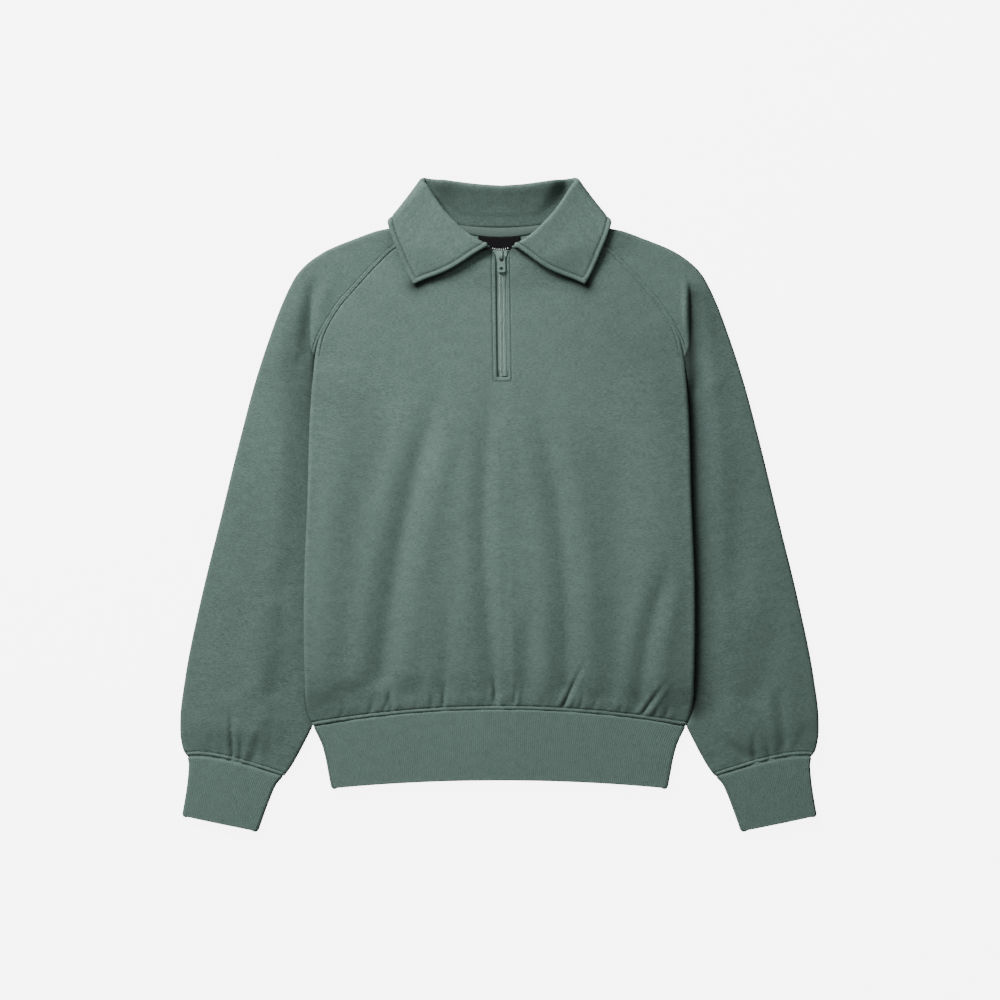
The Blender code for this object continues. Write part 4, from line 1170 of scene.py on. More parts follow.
@dataclass
class Body:
    """Front panel with the zip's opening, and back panel."""

    lay: Lay
    middle: tuple[float, ...] = (
        301.8, 288.0, 273.0, 256.0, 239.0, 222.0, 206.0, 191.0, 177.0, 164.0, 150.4, 134.0,
        110.0, 84.0, 55.0, 22.0, -12.0, -46.0, -80.0, -112.0, -140.0, -164.0, -184.0, -201.0,
        -216.0, -229.0, -242.1)
    low_seam: tuple[float, ...] = (
        96.0, 62.0, 26.0, -10.0, -46.0, -82.0, -116.0, -146.0, -172.0, -194.0, -213.0, -229.0,
        -245.0, -261.0)
    back_top: float = 324.7
    zip_foot: tuple[float, float] = (4.1, 150.4)
    zip_length: float = 150.6
    zip_lean: float = 2.0
    slot: float = 7.0
    slot_flare: float = 4.5
    zip_row: int = 10
    fine: int = 5
    hem_fine: int = 8
    hem_rows: int = 4
    spans: int = 138
    slot_spans: int = 8
    roll_steps: int = 7

    def stations(self) -> Grid:
        """Fractional rows of the panels, closer together above the hem.

        Returns:
            The rows.
        """
        last = len(self.middle) - 1
        split = last - self.hem_rows
        upper = np.linspace(0.0, split, split * self.fine + 1)
        lower = np.linspace(split, last, self.hem_rows * self.hem_fine + 1)
        near = last - np.array((0.05, 0.19, 0.31, 0.44))
        return np.unique(np.concatenate([upper, lower, near]).round(6))

    def zip_x(self, y: Any) -> Any:
        """Middle line of the zip, which leans a little."""
        x, foot = self.zip_foot
        return x - self.zip_lean * (np.asarray(y, float) - foot) / self.zip_length

    def slot_half(self, y: Any) -> Any:
        """Half width of the zip's opening."""
        flare = np.clip((np.asarray(y, float) - 288.0) / 13.0, 0.0, 1.1)
        return self.slot + self.slot_flare * flare ** 2

    def half_row(self, middle_y: float, seam_y: float, power: float,
                 front: bool) -> tuple[Grid, Grid, Grid, float]:
        """Plan of half a row.

        Args:
            middle_y: the row's height at the middle.
            seam_y: its height on the seam.
            power: how late it turns from one to the other.
            front: whether it is on the front panel.

        Returns:
            Distances from the middle, heights, shares of the roll's fall, and the edge.
        """
        lay = self.lay
        seam = lay.front_seam if front else lay.back_seam
        edge = float(seam.at(seam_y)) - lay.half_gap(seam_y)
        start = float(self.slot_half(middle_y)) if front else 0.0
        even = np.linspace(0.0, 1.0, self.spans + 1)
        bunch = even - 0.3 * np.sin(2.0 * math.pi * even) / (2.0 * math.pi)
        places = start + (edge - lay.edge_reach - start) * bunch
        inset, fall = lay.edge_profile(lay.edge_angle(seam_y), self.roll_steps)
        places = np.concatenate([places, edge - lay.edge_reach * inset[-2::-1]])
        falls = np.concatenate([np.zeros(self.spans + 1), fall[-2::-1]])
        share = (places - start) / (edge - start)
        return places, middle_y + (seam_y - middle_y) * share ** power, falls, edge

    def level(self, x: Grid, y: Grid, inset: Grid, seam_y: float, front: bool) -> Grid:
        """Height of a layer before its edge rolls.

        Args:
            x: places across.
            y: heights on the panel.
            inset: distances in from the side.
            seam_y: the row's height on the seam.
            front: whether it is the front panel.

        Returns:
            Heights over the floor.
        """
        lay = self.lay
        rise = float(lay.side_centre(seam_y)) - lay.back_level - lay.side_roll
        height = lay.back_height(x, y) + rise * (1.0 - smooth((inset - 14.0) / 80.0))
        if not front:
            return height
        above = y - lay.hem_y(x)
        gap = lay.separation(x, y) + lay.crowned(y)
        gap = gap + (lay.rib_gap - gap) * (1.0 - ramp(above, 0.0, 50.0))
        below = float(lay.roll_share(seam_y))
        gap = gap + (2.0 * lay.side_roll - gap) * below * (1.0 - smooth((inset - 5.0) / 45.0))
        relief = sum(fold.height(x, y) for fold in FRONT_FOLDS)
        relief = relief + sum(fold.height(x, above) for fold in HEM_GATHERS)
        relief = relief + 0.7 * puff(above / 24.0)
        return height + gap + relief * smooth(inset / 30.0)

    def row(self, middle_y: float, seam_y: float, power: float,
            front: bool) -> tuple[Grid, Grid]:
        """One row of a panel from the right side to the left.

        Args:
            middle_y: the row's height at the middle.
            seam_y: its height on the seam.
            power: how late it turns from one to the other.
            front: whether it is on the front panel.

        Returns:
            The row's points, and their distances in from the side.
        """
        lay = self.lay
        places, heights, falls, edge = self.half_row(middle_y, seam_y, power, front)
        inset = edge - places
        target = lay.seam_level(float(lay.side_centre(seam_y)), lay.edge_angle(seam_y),
                                1 if front else -1)
        halves = []
        for side in (-1, 1):
            x = side * places
            if front:
                x = x + self.zip_x(middle_y) * (1.0 - smooth((places - 15.0) / 60.0))
            z = self.level(x, heights, inset, seam_y, front)
            z = z + (target - z) * falls
            if front:
                offset = x - self.zip_x(heights)
                z = (z + LINES.band(heights - lay.hem_y(x), 0.9) + LINES.raglan(inset, heights)
                     + LINES.zip_relief(offset, heights))
            halves.append(np.stack([x, heights, z], axis=1))
        left, right = halves[0][::-1], halves[1]
        if not front:
            return np.concatenate([left, right[1:]]), np.concatenate([inset[::-1], inset[1:]])
        share = np.linspace(0.0, 1.0, self.slot_spans + 1)[1:-1, None]
        bridge = left[-1] * (1.0 - share) + right[0] * share
        return (np.concatenate([left, bridge, right]),
                np.concatenate([inset[::-1], np.full(len(bridge), INSIDE), inset]))

    def panel(self, front: bool) -> tuple[Shell, Grid]:
        """One panel from the right side to the left.

        Args:
            front: whether it is the front panel.

        Returns:
            The panel's shell and each point's distance in from the side.
        """
        at = self.stations()
        fade = (1.0 - at / (len(self.middle) - 1)) ** 2
        shift = 0.0 if front else self.back_top - self.middle[0]
        table = zip(refine(self.middle, at) + shift * fade,
                    refine((SEAM_ROWS if front else BACK_ROWS) + self.low_seam, at),
                    2.0 + 1.2 * fade)
        rows = [self.row(float(middle_y), float(seam_y), power, front)
                for middle_y, seam_y, power in table]
        grid, insets = (np.array(part) for part in zip(*rows))
        if not front:
            return Shell("back_panel", grid, self.lay.fleece), insets
        missing = np.zeros((len(at) - 1, grid.shape[1] - 1), bool)
        first = self.spans + self.roll_steps
        missing[at[:-1] < self.zip_row - 1e-6, first:first + self.slot_spans] = True
        x, y = grid[:, :, 0], grid[:, :, 1]
        # Painted shadow under the collar's edges and painted shade over the front.
        tone_and_painted_shade = PAINTED_SHADE.collar(x, y) * PAINTED_SHADE.front(x, y)
        return Shell("front_panel", grid, self.lay.fleece, missing=missing,
                     sewn=self.sewn(x, y, insets), tone_and_painted_shade=tone_and_painted_shade), insets

    def sewn(self, x: Grid, y: Grid, insets: Grid) -> Grid:
        """Distance of the front's points from the nearest stitch line.

        Args:
            x: their places across.
            y: their heights.
            insets: their distances in from the side.

        Returns:
            The distances, less than 0 between the line and the seam.
        """
        hem = y - self.lay.hem_y(x) - LINES.groove
        raglan = np.where(y > LINES.raglan_low, insets - LINES.line, FAR)
        return np.minimum(np.minimum(hem, raglan), LINES.box(x - self.zip_x(y), y))


# ---- sleeves ---------------------------------------------------------------------------------


@dataclass
class Sleeve:
    """Raglan sleeve, sewn along its inner edge."""

    lay: Lay
    name: str
    side: int
    low_seam: tuple[float, ...] = (
        82.0, 25.0, -45.0, -112.0, -172.0, -213.0, -229.0, -245.0, -261.0, -279.1, -293.0,
        -305.0, -314.0, -320.4)
    outer: tuple[float, ...] = (
        351.0, 336.5, 326.4, 316.0, 300.0, 284.0, 268.0, 252.0, 236.0, 220.0, 203.0, 184.0,
        160.0, 124.0, 72.0, 10.0, -55.0, -120.0, -165.0, -192.0, -212.0, -231.0, -250.0,
        -266.0, -280.0, -291.0, -299.1)
    outline: SeamLine = SeamLine(
        (-299.1, -292.1, -277.9, -254.3, -207.1, -112.7, -18.3, 76.1, 146.9, 194.1, 241.3,
         256.6, 274.3, 289.1, 302.7, 314.5, 320.5, 324.2, 326.2, 333.5, 341.5, 351.0),
        (369.9, 373.5, 377.0, 377.8, 372.3, 353.4, 330.4, 307.4, 288.5, 273.2, 255.5, 248.4,
         237.8, 222.4, 200.0, 170.5, 154.5, 142.0, 131.0, 113.0, 102.5, 95.5))
    fine: int = 7
    front_spans: int = 52
    back_spans: int = 26
    fold_steps: int = 10
    roll_steps: int = 6
    spacing: float = 1.25
    dome: float = 3.2
    lean: float = 14.0

    def edge(self, y: float, seam: SeamLine) -> tuple[Grid, Grid]:
        """Edge at the seam.

        Args:
            y: height on the seam.
            seam: the seam line.

        Returns:
            Its plan point and its direction.
        """
        lay = self.lay
        line = [float(seam.at(at) if y > lay.underarm else lay.sleeve_inner_x(at))
                for at in (y - 1.0, y, y + 1.0)]
        return (np.array((line[1] + lay.half_gap(y), y)),
                unit(np.array((line[2] - line[0], 2.0))))

    def fold(self, outer_y: float) -> tuple[Grid, Grid]:
        """Middle surface at the outer edge.

        Args:
            outer_y: height on the outer edge.

        Returns:
            Its plan point, and the way outwards.
        """
        x = [float(self.outline.at(outer_y + step)) for step in (-1, 0, 1)]
        way = unit(np.array((2.0, x[0] - x[2])))
        return np.array((x[1], outer_y)) - way * 0.5 * self.lay.fleece, way

    def layer(self, seam_y: float, seam: SeamLine, end: Grid, outer_y: float,
              spans: int) -> tuple[Grid, Grid, Grid, Grid]:
        """Plan of one layer's row from the seam to the outer fold.

        Args:
            seam_y: the row's height on the seam.
            seam: the seam line.
            end: plan point where the fold begins.
            outer_y: the row's height on the outer edge.
            spans: how many spans it has past the roll.

        Returns:
            Plan points, shares along the row, insets and shares of the fall.
        """
        lay = self.lay
        start, edge = self.edge(seam_y, seam)
        length = float(np.linalg.norm(end - start))
        way = (end - start) / length
        reach = lay.edge_reach / max(0.45, abs(way[0] * edge[1] - way[1] * edge[0]))
        rolled, fall = lay.edge_profile(lay.edge_angle(seam_y), self.roll_steps)
        even = (np.arange(1, spans + 1) / spans) ** self.spacing
        inset = np.concatenate([rolled * reach, reach + (length - reach) * even])
        share = inset / length
        points = start + (end - start) * share[:, None]
        bowed = 1.0 - ramp(outer_y - lay.cuff_y, 0.0, 70.0)
        points[:, 1] += lay.cuff_bow(points[:, 0], 6.3) * bowed
        return points, share, inset, np.concatenate([fall, np.zeros(spans)])

    def separation(self, x: Any, y: Any, share: Any, inset: Any, seam_y: float,
                   outer_y: float) -> Any:
        """Distance between the sleeve's layers.

        Args:
            x: places across.
            y: heights.
            share: shares along the row.
            inset: distances from the seam.
            seam_y: the row's height on the seam.
            outer_y: the row's height on the outer edge.

        Returns:
            Distances between the middle surfaces.
        """
        lay = self.lay
        below = float(lay.roll_share(seam_y))
        gap = lay.separation(x, y) + self.dome * 4.0 * share * (1.0 - share) * below
        near = 1.0 - smooth((inset - 19.0) / 38.0)
        gap = gap + (2.0 * lay.inner_roll - gap) * below * near
        above = outer_y - lay.cuff_y
        gap = gap + 0.8 * puff(above / 26.0) * np.sin(math.pi * share)
        return gap + (lay.rib_gap - gap) * float(1.0 - ramp(above, 0.0, 50.0))

    def turned(self, top: Grid, under: Grid, out: Grid) -> Grid:
        """Points round the outer fold.

        Args:
            top: the upper layer's last point.
            under: the lower layer's last point.
            out: how far the fold reaches past them, in plan.

        Returns:
            The points between the two.
        """
        middle = 0.5 * (top + under)
        rise = 0.5 * (top[2] - under[2])
        turn = np.linspace(0.5 * math.pi, -0.5 * math.pi, self.fold_steps + 1)[1:-1, None]
        return np.concatenate([middle[:2] + out * np.cos(turn), middle[2] + rise * np.sin(turn)],
                              axis=1)

    def row(self, front_y: float, back_y: float, outer_y: float) -> tuple[Grid, Grid]:
        """One row round the sleeve from its front seam over the fold to its back seam.

        Args:
            front_y: the row's height on the front seam.
            back_y: its height on the back seam.
            outer_y: its height on the outer edge.

        Returns:
            The row's points, and their distances from the seam.
        """
        lay = self.lay
        outer, way = self.fold(outer_y)
        roll = 0.5 * float(self.separation(outer[0], outer[1], 1.0, INSIDE, front_y, outer_y))
        layers, insets = [], []
        for seam_y, seam, spans, up in ((front_y, lay.front_seam, self.front_spans, 1),
                                        (back_y, lay.back_seam, self.back_spans, -1)):
            points, share, inset, falls = self.layer(seam_y, seam, outer - way * roll, outer_y,
                                                     spans)
            x, y = points[:, 0], points[:, 1]
            z = lay.back_height(x, y)
            if up > 0:
                relief = sum(crease.height(x, y) for crease in SLEEVE_CREASES[self.side])
                z = z + self.separation(x, y, share, inset, front_y, outer_y)
                z = z + relief * np.sin(math.pi * share) ** 2
            target = lay.seam_level(lay.sleeve_centre, lay.edge_angle(front_y), up)
            z = z + (target - z) * falls
            if up > 0:
                cuff = LINES.band(outer_y - lay.cuff_y, 0.85) * smooth(inset / 8.0)
                z = z + LINES.raglan(inset, front_y) + cuff
            layers.append(np.stack([x, y, z], axis=1))
            insets.append(inset)
        turned = self.turned(layers[0][-1], layers[1][-1], way * roll)
        row = np.concatenate([layers[0], turned, layers[1][::-1]])
        row[:, 0] *= self.side
        return row, np.concatenate([insets[0], np.full(len(turned), INSIDE), insets[1][::-1]])

    def shell(self) -> tuple[Shell, Grid]:
        """The sleeve's shell.

        Returns:
            The shell, and each point's distance from the seam.
        """
        last = len(self.outer) - 1
        at = np.linspace(0.0, last, last * self.fine + 1)
        at = np.unique(np.concatenate([at, last - np.array((0.08, 0.22, 0.36, 0.5, 0.64))]))
        front, back, outer = (refine(values, at) for values in (
            SEAM_ROWS + self.low_seam, BACK_ROWS + self.low_seam, self.outer))
        rows = [self.row(float(a), float(b), float(c)) for a, b, c in zip(front, back, outer)]
        grid, insets = (np.array(part) for part in zip(*rows))
        lean = math.radians(self.lean) * self.side
        x, y = grid[:, :, 0], grid[:, :, 1]
        weave = np.stack([x * math.cos(lean) + y * math.sin(lean),
                          y * math.cos(lean) - x * math.sin(lean), grid[:, :, 2]], axis=2)
        raglan = np.where(front[:, None] > LINES.raglan_low, insets - LINES.line, FAR)
        cuff = (outer - self.lay.cuff_y - LINES.groove)[:, None] + np.zeros_like(insets)
        # Painted shadow beside the body's edge and under the collar's edges.
        tone_and_painted_shade = PAINTED_SHADE.beside_body(x, y, self.side) * PAINTED_SHADE.collar(x, y)
        return Shell(self.name, grid, self.lay.fleece, weave=weave,
                     sewn=np.minimum(raglan, cuff), tone_and_painted_shade=tone_and_painted_shade), insets


# ---- rib -------------------------------------------------------------------------------------


@dataclass
class RibTube:
    """Doubled rib laid flat: a cuff or the hem band."""

    lay: Lay
    name: str
    left_x: tuple[float, ...]
    left_y: tuple[float, ...]
    right_x: tuple[float, ...]
    right_y: tuple[float, ...]
    rise: tuple[float, ...]
    bow: Callable[[Grid, float, float], Grid]
    side: int = 1
    spans: int = 60
    rows: int = 26
    turn_steps: int = 8
    tuck: float = 3.2
    corner: float = 3.0
    step_height: float = 15.0

    def ring(self, left: Grid, right: Grid, rise: float, share: float) -> Grid:
        """Closed row round the two layers.

        Args:
            left: plan point of the left edge.
            right: plan point of the right edge.
            rise: how far the row bows.
            share: how far down the band the row is.

        Returns:
            The row's points.
        """
        lay = self.lay
        roll = 0.5 * lay.rib_separation
        length = float(np.linalg.norm(right - left))
        way = (right - left) / length
        inset = 0.5 * lay.rib + roll
        places = inset + (length - 2.0 * inset) * np.arange(self.spans + 1) / self.spans
        turn = np.linspace(0.5 * math.pi, -0.5 * math.pi, self.turn_steps + 1)[1:-1]
        near = 1.0 - smooth(share / 0.3)
        ease = 0.35 * np.sin(places * 0.21) * np.sin(places * 0.083 + 1.0) * near
        ease = ease + 0.5 * np.sin(math.pi * (places - inset) / (length - 2.0 * inset))
        upper = np.stack([places, lay.rib_separation + ease], axis=1)
        lower = np.stack([places[::-1], np.zeros_like(places)], axis=1)
        far = np.stack([places[-1] + roll * np.cos(turn), roll + roll * np.sin(turn)], axis=1)
        back = turn[::-1]
        begin = np.stack([places[0] - roll * np.cos(back), roll + roll * np.sin(back)], axis=1)
        ring = np.concatenate([upper, far, lower, begin])
        x = left[0] + way[0] * ring[:, 0]
        y = left[1] + way[1] * ring[:, 0]
        return np.stack([x, y + self.bow(x, rise, length), lay.rib_level + ring[:, 1]], axis=1)

    def shell(self) -> Shell:
        """The band's shell.

        Returns:
            The shell, with its weave measured round and down the band.
        """
        last = len(self.rise) - 1
        at = np.linspace(0.0, last, self.rows)
        close = last - np.array((0.02, 0.05, 0.09, 0.14, 0.2))
        at = np.unique(np.concatenate([at, (0.03, 0.07), close]))
        rows = []
        table = [refine(values, at) for values in (
            self.left_x, self.left_y, self.right_x, self.right_y, self.rise, range(last + 1))]
        for left_x, left_y, right_x, right_y, rise, step in zip(*table):
            ends = np.array(((left_x, left_y), (right_x, right_y)))
            low = max(0.0, 1.0 - (last - float(step)) * self.step_height / self.corner)
            way = unit(ends[1] - ends[0]) * self.corner * (1.0 - math.sqrt(1.0 - low * low))
            rows.append(self.ring(ends[0] + way, ends[1] - way, float(rise), float(step) / last))
        first = np.array(rows[0])
        way = np.array(rows[1]) - first
        way /= np.linalg.norm(way, axis=1, keepdims=True)
        tucked = [first - way * step for step in (self.tuck, 0.6 * self.tuck, 0.25 * self.tuck)]
        grid = np.array(tucked + rows)
        grid[:, :, 0] *= self.side
        u, v = (np.concatenate([[0.0], np.cumsum(np.linalg.norm(np.diff(line, axis=0), axis=1))])
                for line in (grid[0], grid[:, 5]))
        weave = np.zeros_like(grid)
        weave[:, :, 0] = u[None, :]
        weave[:, :, 1] = v[:, None]
        depth = (v[-1] - v)[:, None] + np.zeros_like(u)[None, :]
        tucked = 1.0 - ramp(v, self.tuck - 0.6, self.tuck + 1.4)[:, None]
        thickness = self.lay.rib + 0.25 * bell(depth - 2.0, 2.5) - 1.7 * tucked
        return Shell(self.name, grid, thickness, closed=True, weave=weave)


def make_cuff(lay: Lay, name: str, side: int) -> RibTube:
    """Cuff of one sleeve.

    Args:
        lay: how the layers lie.
        name: the piece's name.
        side: 1 for the left sleeve, -1 for the right.

    Returns:
        The cuff.
    """
    return RibTube(lay, name,
                   (256.0, 263.6, 269.0, 274.2, 279.6, 285.4),
                   (-322.4, -331.6, -343.0, -356.0, -370.5, -386.3),
                   (369.3, 367.8, 368.6, 370.2, 372.8, 375.8),
                   (-300.3, -308.6, -321.0, -335.0, -351.0, -367.8),
                   (6.3, 4.6, 2.8, 1.5, 0.4, -0.6),
                   lambda x, rise, length: lay.cuff_bow(x, rise), side)


def make_band(lay: Lay) -> RibTube:
    """Band round the hem.

    Args:
        lay: how the layers lie.

    Returns:
        The band.
    """
    half = (220.3, 210.9, 206.0, 202.4, 199.2)
    side_y = (-262.6, -282.6, -300.0, -319.0, -335.6)
    middle = (-243.0, -261.0, -283.0, -305.0, -326.3)
    rise = tuple(m - s for m, s in zip(middle, side_y))
    return RibTube(lay, "hem_rib", tuple(-value for value in half), side_y, half, side_y, rise,
                   lambda x, rise, length: rise * (1.0 - (2.0 * x / length) ** 2),
                   spans=150, rows=30)


# ---- collar ----------------------------------------------------------------------------------


@dataclass
class Collar:
    """Fold-over collar in one piece, with a ridge inside its stitched edge."""

    lay: Lay
    wall: float = 3.2
    fall_rise: float = 4.4
    under_level: float = 1.6
    front_neck: tuple = ((12.5, 27.0, 43.0, 57.5, 70.0, 80.0, 86.0, 91.2),
                         (302.8, 303.0, 304.4, 308.3, 314.8, 323.6, 334.0, 351.3))
    front_roll: tuple = ((16.0, 27.0, 39.5, 51.0, 62.5, 73.0, 81.2, 85.7),
                         (307.2, 312.6, 321.2, 332.0, 344.0, 357.8, 370.5, 377.5))
    front_edge: tuple = ((100.9, 106.0, 110.5, 114.8, 118.8, 123.0, 127.2, 130.8),
                         (260.0, 268.5, 277.5, 287.0, 296.5, 306.5, 317.0, 327.5))
    back_neck: tuple = ((91.2, 80.0, 58.4, 30.0, 0.0), (351.3, 338.6, 330.0, 325.6, 325.1))
    back_roll: tuple = ((86.0, 72.0, 50.0, 25.0, 0.0), (386.0, 383.9, 380.6, 377.5, 375.8))
    back_edge: tuple = ((124.0, 103.0, 76.0, 40.0, 0.0), (329.0, 317.5, 307.5, 299.0, 295.5))
    outward: tuple = ((0.89, 0.45), (0.90, 0.43), (0.28, 0.96))
    end_bow: float = 4.2
    end_bow_stations: float = 34.0
    back_rise: float = 12.0
    front_rise: float = 4.0
    stitch: float = 6.0
    front_stations: int = 56
    fold_steps: int = 14
    back_stations: int = 30
    stand_spans: int = 10
    roll_steps: int = 12
    fall_spans: int = 44
    on_fall: float = 90.0
    lean: float = 48.0

    @staticmethod
    def line(table: tuple, count: int) -> Grid:
        """Plan points along a line of the collar at even shares of its table."""
        at = np.linspace(0.0, len(table[0]) - 1, count)
        return np.stack([refine(table[0], at), refine(table[1], at)], axis=1)

    def stations(self) -> list[tuple[list[Grid], float, float]]:
        """Half collar from the opening to centre back.

        Returns:
            Plan of its lines, turn and end bow at each station.
        """
        front = [self.line(table, self.front_stations)
                 for table in (self.front_neck, self.front_roll, self.front_edge)]
        back = [self.line(table, self.back_stations)
                for table in (self.back_neck, self.back_roll, self.back_edge)]
        stations = [([part[i] for part in front], 0.5 * math.pi,
                     self.end_bow * max(0.0, 1.0 - i / self.end_bow_stations) ** 2)
                    for i in range(self.front_stations)]
        for angle in np.linspace(0.5 * math.pi, -0.5 * math.pi, self.fold_steps + 2)[1:-1]:
            weight = 0.5 * (1.0 + math.sin(angle))
            stations.append(([a[-1] * weight + b[0] * (1.0 - weight)
                              for a, b in zip(front, back)], float(angle), 0.0))
        stations += [([part[i] for part in back], -0.5 * math.pi, 0.0)
                     for i in range(self.back_stations)]
        return stations

    def lift(self, x: float, y: float, share: float) -> float:
        """Rise of the collar behind the neck, gone before it comes under the front's roll.

        Args:
            x: place across.
            y: height on the panel.
            share: how much of the rise it has.

        Returns:
            The rise.
        """
        clear = follow(self.front_roll[1], self.front_roll[0], y) - 24.0
        fade = 1.0 - smooth((abs(x) - clear) / 20.0)
        return self.back_rise * float(fade) * max(0.0, share) ** 1.6

    def point(self, plan: Grid, angle: float, outward: Grid, levels: tuple[float, float],
              share: float) -> Grid:
        """Point of the collar turned round the side fold by an angle.

        Args:
            plan: its place before the turn.
            angle: the turn, a quarter turn forward at the front and back behind the neck.
            outward: the way out of the fold.
            levels: its rise over the front and its height behind the neck.
            share: how much of the rise behind the neck it has.

        Returns:
            The point.
        """
        rise, under = levels
        high = float(self.lay.front_height(plan[0], plan[1])) + rise
        radius = 0.5 * (high - under)
        x, y = plan + outward * radius * max(0.0, math.cos(angle))
        turned = smooth(0.5 + 0.5 * math.sin(angle))
        lift = self.front_rise * float(turned) * max(0.0, share) ** 1.5
        if angle <= -0.5 * math.pi:
            lift = self.lift(x, y, share)
        return np.array((x, y, 0.5 * (high + under) + radius * math.sin(angle) + lift))

    def section(self, plan: list[Grid], angle: float, bow: float) -> Grid:
        """Points from the neck seam up the stand, round the roll and down the fall.

        Args:
            plan: plan of the neck seam, the roll and the free edge.
            angle: the turn round the side fold.
            bow: how far the free end bows.

        Returns:
            The points.
        """
        neck, roll, edge = plan
        up = unit(unit(roll - neck) + unit(roll - edge))
        axis = roll - up * 0.5 * (self.fall_rise + self.wall)
        neck = neck + (unit(np.array((0.0, 385.0)) - neck) + unit(roll - neck)) * 0.6
        stand = (0.0, self.lay.back_level + self.lay.collar_lift)
        fall = (self.fall_rise, self.under_level)
        ways = [np.array(way) for way in self.outward]
        section = []
        for share in np.arange(self.stand_spans) / self.stand_spans:
            way = ways[0] * (1.0 - share) + ways[1] * share
            section.append(self.point(neck + (axis - neck) * share, angle, way, stand, share))
        stand_top = self.point(axis, angle, ways[1], stand, 1.0)
        fall_top = self.point(axis, angle, ways[1], fall, 1.0)
        centre = 0.5 * (stand_top + fall_top)
        arm = 0.5 * (stand_top - fall_top)
        top = np.array((*up, 0.0))
        top = unit(top - arm * (top @ arm) / (arm @ arm)) * np.linalg.norm(arm)
        for turn in np.linspace(0.0, math.pi, self.roll_steps + 1):
            section.append(centre + arm * math.cos(turn) + top * math.sin(turn))
        even = np.arange(1, self.fall_spans + 1) / self.fall_spans
        for share in even + 0.1 * np.sin(math.pi * even) * (1.0 - even):
            way = ways[1] * (1.0 - share) + ways[2] * share
            place = axis + (edge - axis) * share
            place = place + np.array((-0.5, -0.86)) * bow * math.sin(math.pi * share) ** 2
            section.append(self.point(place, angle, way, fall, 1.0 - share / 0.9
                                      if angle > 0.0 else 1.0 - share / 0.55))
        return np.array(section)

    def grid(self) -> Grid:
        """Middle points of the whole collar.

        Returns:
            Rows from opening to opening, columns from neck seam to free edge.
        """
        half = np.array([self.section(*station) for station in self.stations()])
        grid = np.concatenate([half, half[-2::-1] * np.array((-1.0, 1.0, 1.0))])
        front = grid[:, :, 2] > self.lay.back_level + self.lay.collar_lift + 2.0
        shift = 1.8 * (1.0 - ramp(np.abs(grid[:, :, 0]), 10.0, 60.0))
        grid[:, :, 0] += shift * front
        return grid

    def edge_distance(self, grid: Grid) -> Grid:
        """Distance of each point of the fall from its free edge.

        Args:
            grid: the collar's middle points.

        Returns:
            Distances, large on the stand.
        """
        fall = self.stand_spans + self.roll_steps // 2
        line = np.concatenate([grid[0, fall:], grid[1:-1, -1], grid[-1, fall:][::-1]])
        away = np.full(grid.shape[:2], FAR)
        for column in range(fall, grid.shape[1]):
            gaps = grid[:, column, None, :] - line[None, :, :]
            away[:, column] = np.sqrt((gaps ** 2).sum(axis=2)).min(axis=1)
        return away

    def stitch_line(self, away: Grid) -> tuple[Grid, Grid]:
        """Line of the topstitching on half of the collar.

        Args:
            away: distances from the free edge.

        Returns:
            The line's fractional rows and columns.
        """
        line = []
        for column in range(self.stand_spans + self.roll_steps + 1, away.shape[1] - 1):
            row = passed(away[:self.front_stations, column], self.stitch)
            fits = away[int(row) + 1, column] < self.on_fall and away[0, column] < 1.0
            if fits and row < self.front_stations - 2:
                line.append((row, float(column)))
        for row in range(2, self.front_stations):
            if not line or row > line[-1][0]:
                line.append((float(row), passed(away[row], self.stitch, backwards=True)))
        return tuple(np.array(part) for part in zip(*line))

    def shell(self) -> tuple[Shell, Grid]:
        """The collar's shell.

        Returns:
            The shell, and each point's distance from the free edge.
        """
        grid = self.grid()
        away = self.edge_distance(grid)
        ridge = 1.1 * (1.0 - smooth((away - 3.0) / 2.6)) - 1.4 * bell(away - self.stitch, 1.25)
        wobble = 0.25 * np.sin(grid[:, :, 0] * 0.11) * np.sin(grid[:, :, 1] * 0.09 + 0.6)
        wave = smooth((away - 2.0) / 20.0) * (away < self.on_fall)
        grid[:, :, 2] += wobble * wave * (grid[:, :, 2] > 10.0)
        x, y = np.abs(grid[:, :, 0]), grid[:, :, 1]
        lean = math.radians(self.lean)
        front = grid[:, :, 2] > 8.5
        u = np.where(front, x * math.cos(lean) - y * math.sin(lean), x)
        v = np.where(front, x * math.sin(lean) + y * math.cos(lean), y)
        weave = np.stack([u, v, grid[:, :, 2]], axis=2)
        # Painted shade on the inside of the stand behind the neck, deepest towards the sides.
        column = np.arange(grid.shape[1])[None, :]
        inside = 1.0 - ramp(column, self.stand_spans - 1.0, self.stand_spans + 5.0)
        across = grid[:, :, 0]
        painted_stand_shade = 0.26 + 0.30 * bell(across + 72.0, 20.0) + 0.16 * bell(across - 70.0, 15.0)
        return Shell("collar_leaf", grid, self.wall + ridge, weave=weave,
                     sewn=away - self.stitch, tone_and_painted_shade=1.0 - inside * painted_stand_shade), away


# ---- neck tape, label and zip ------------------------------------------------------------------


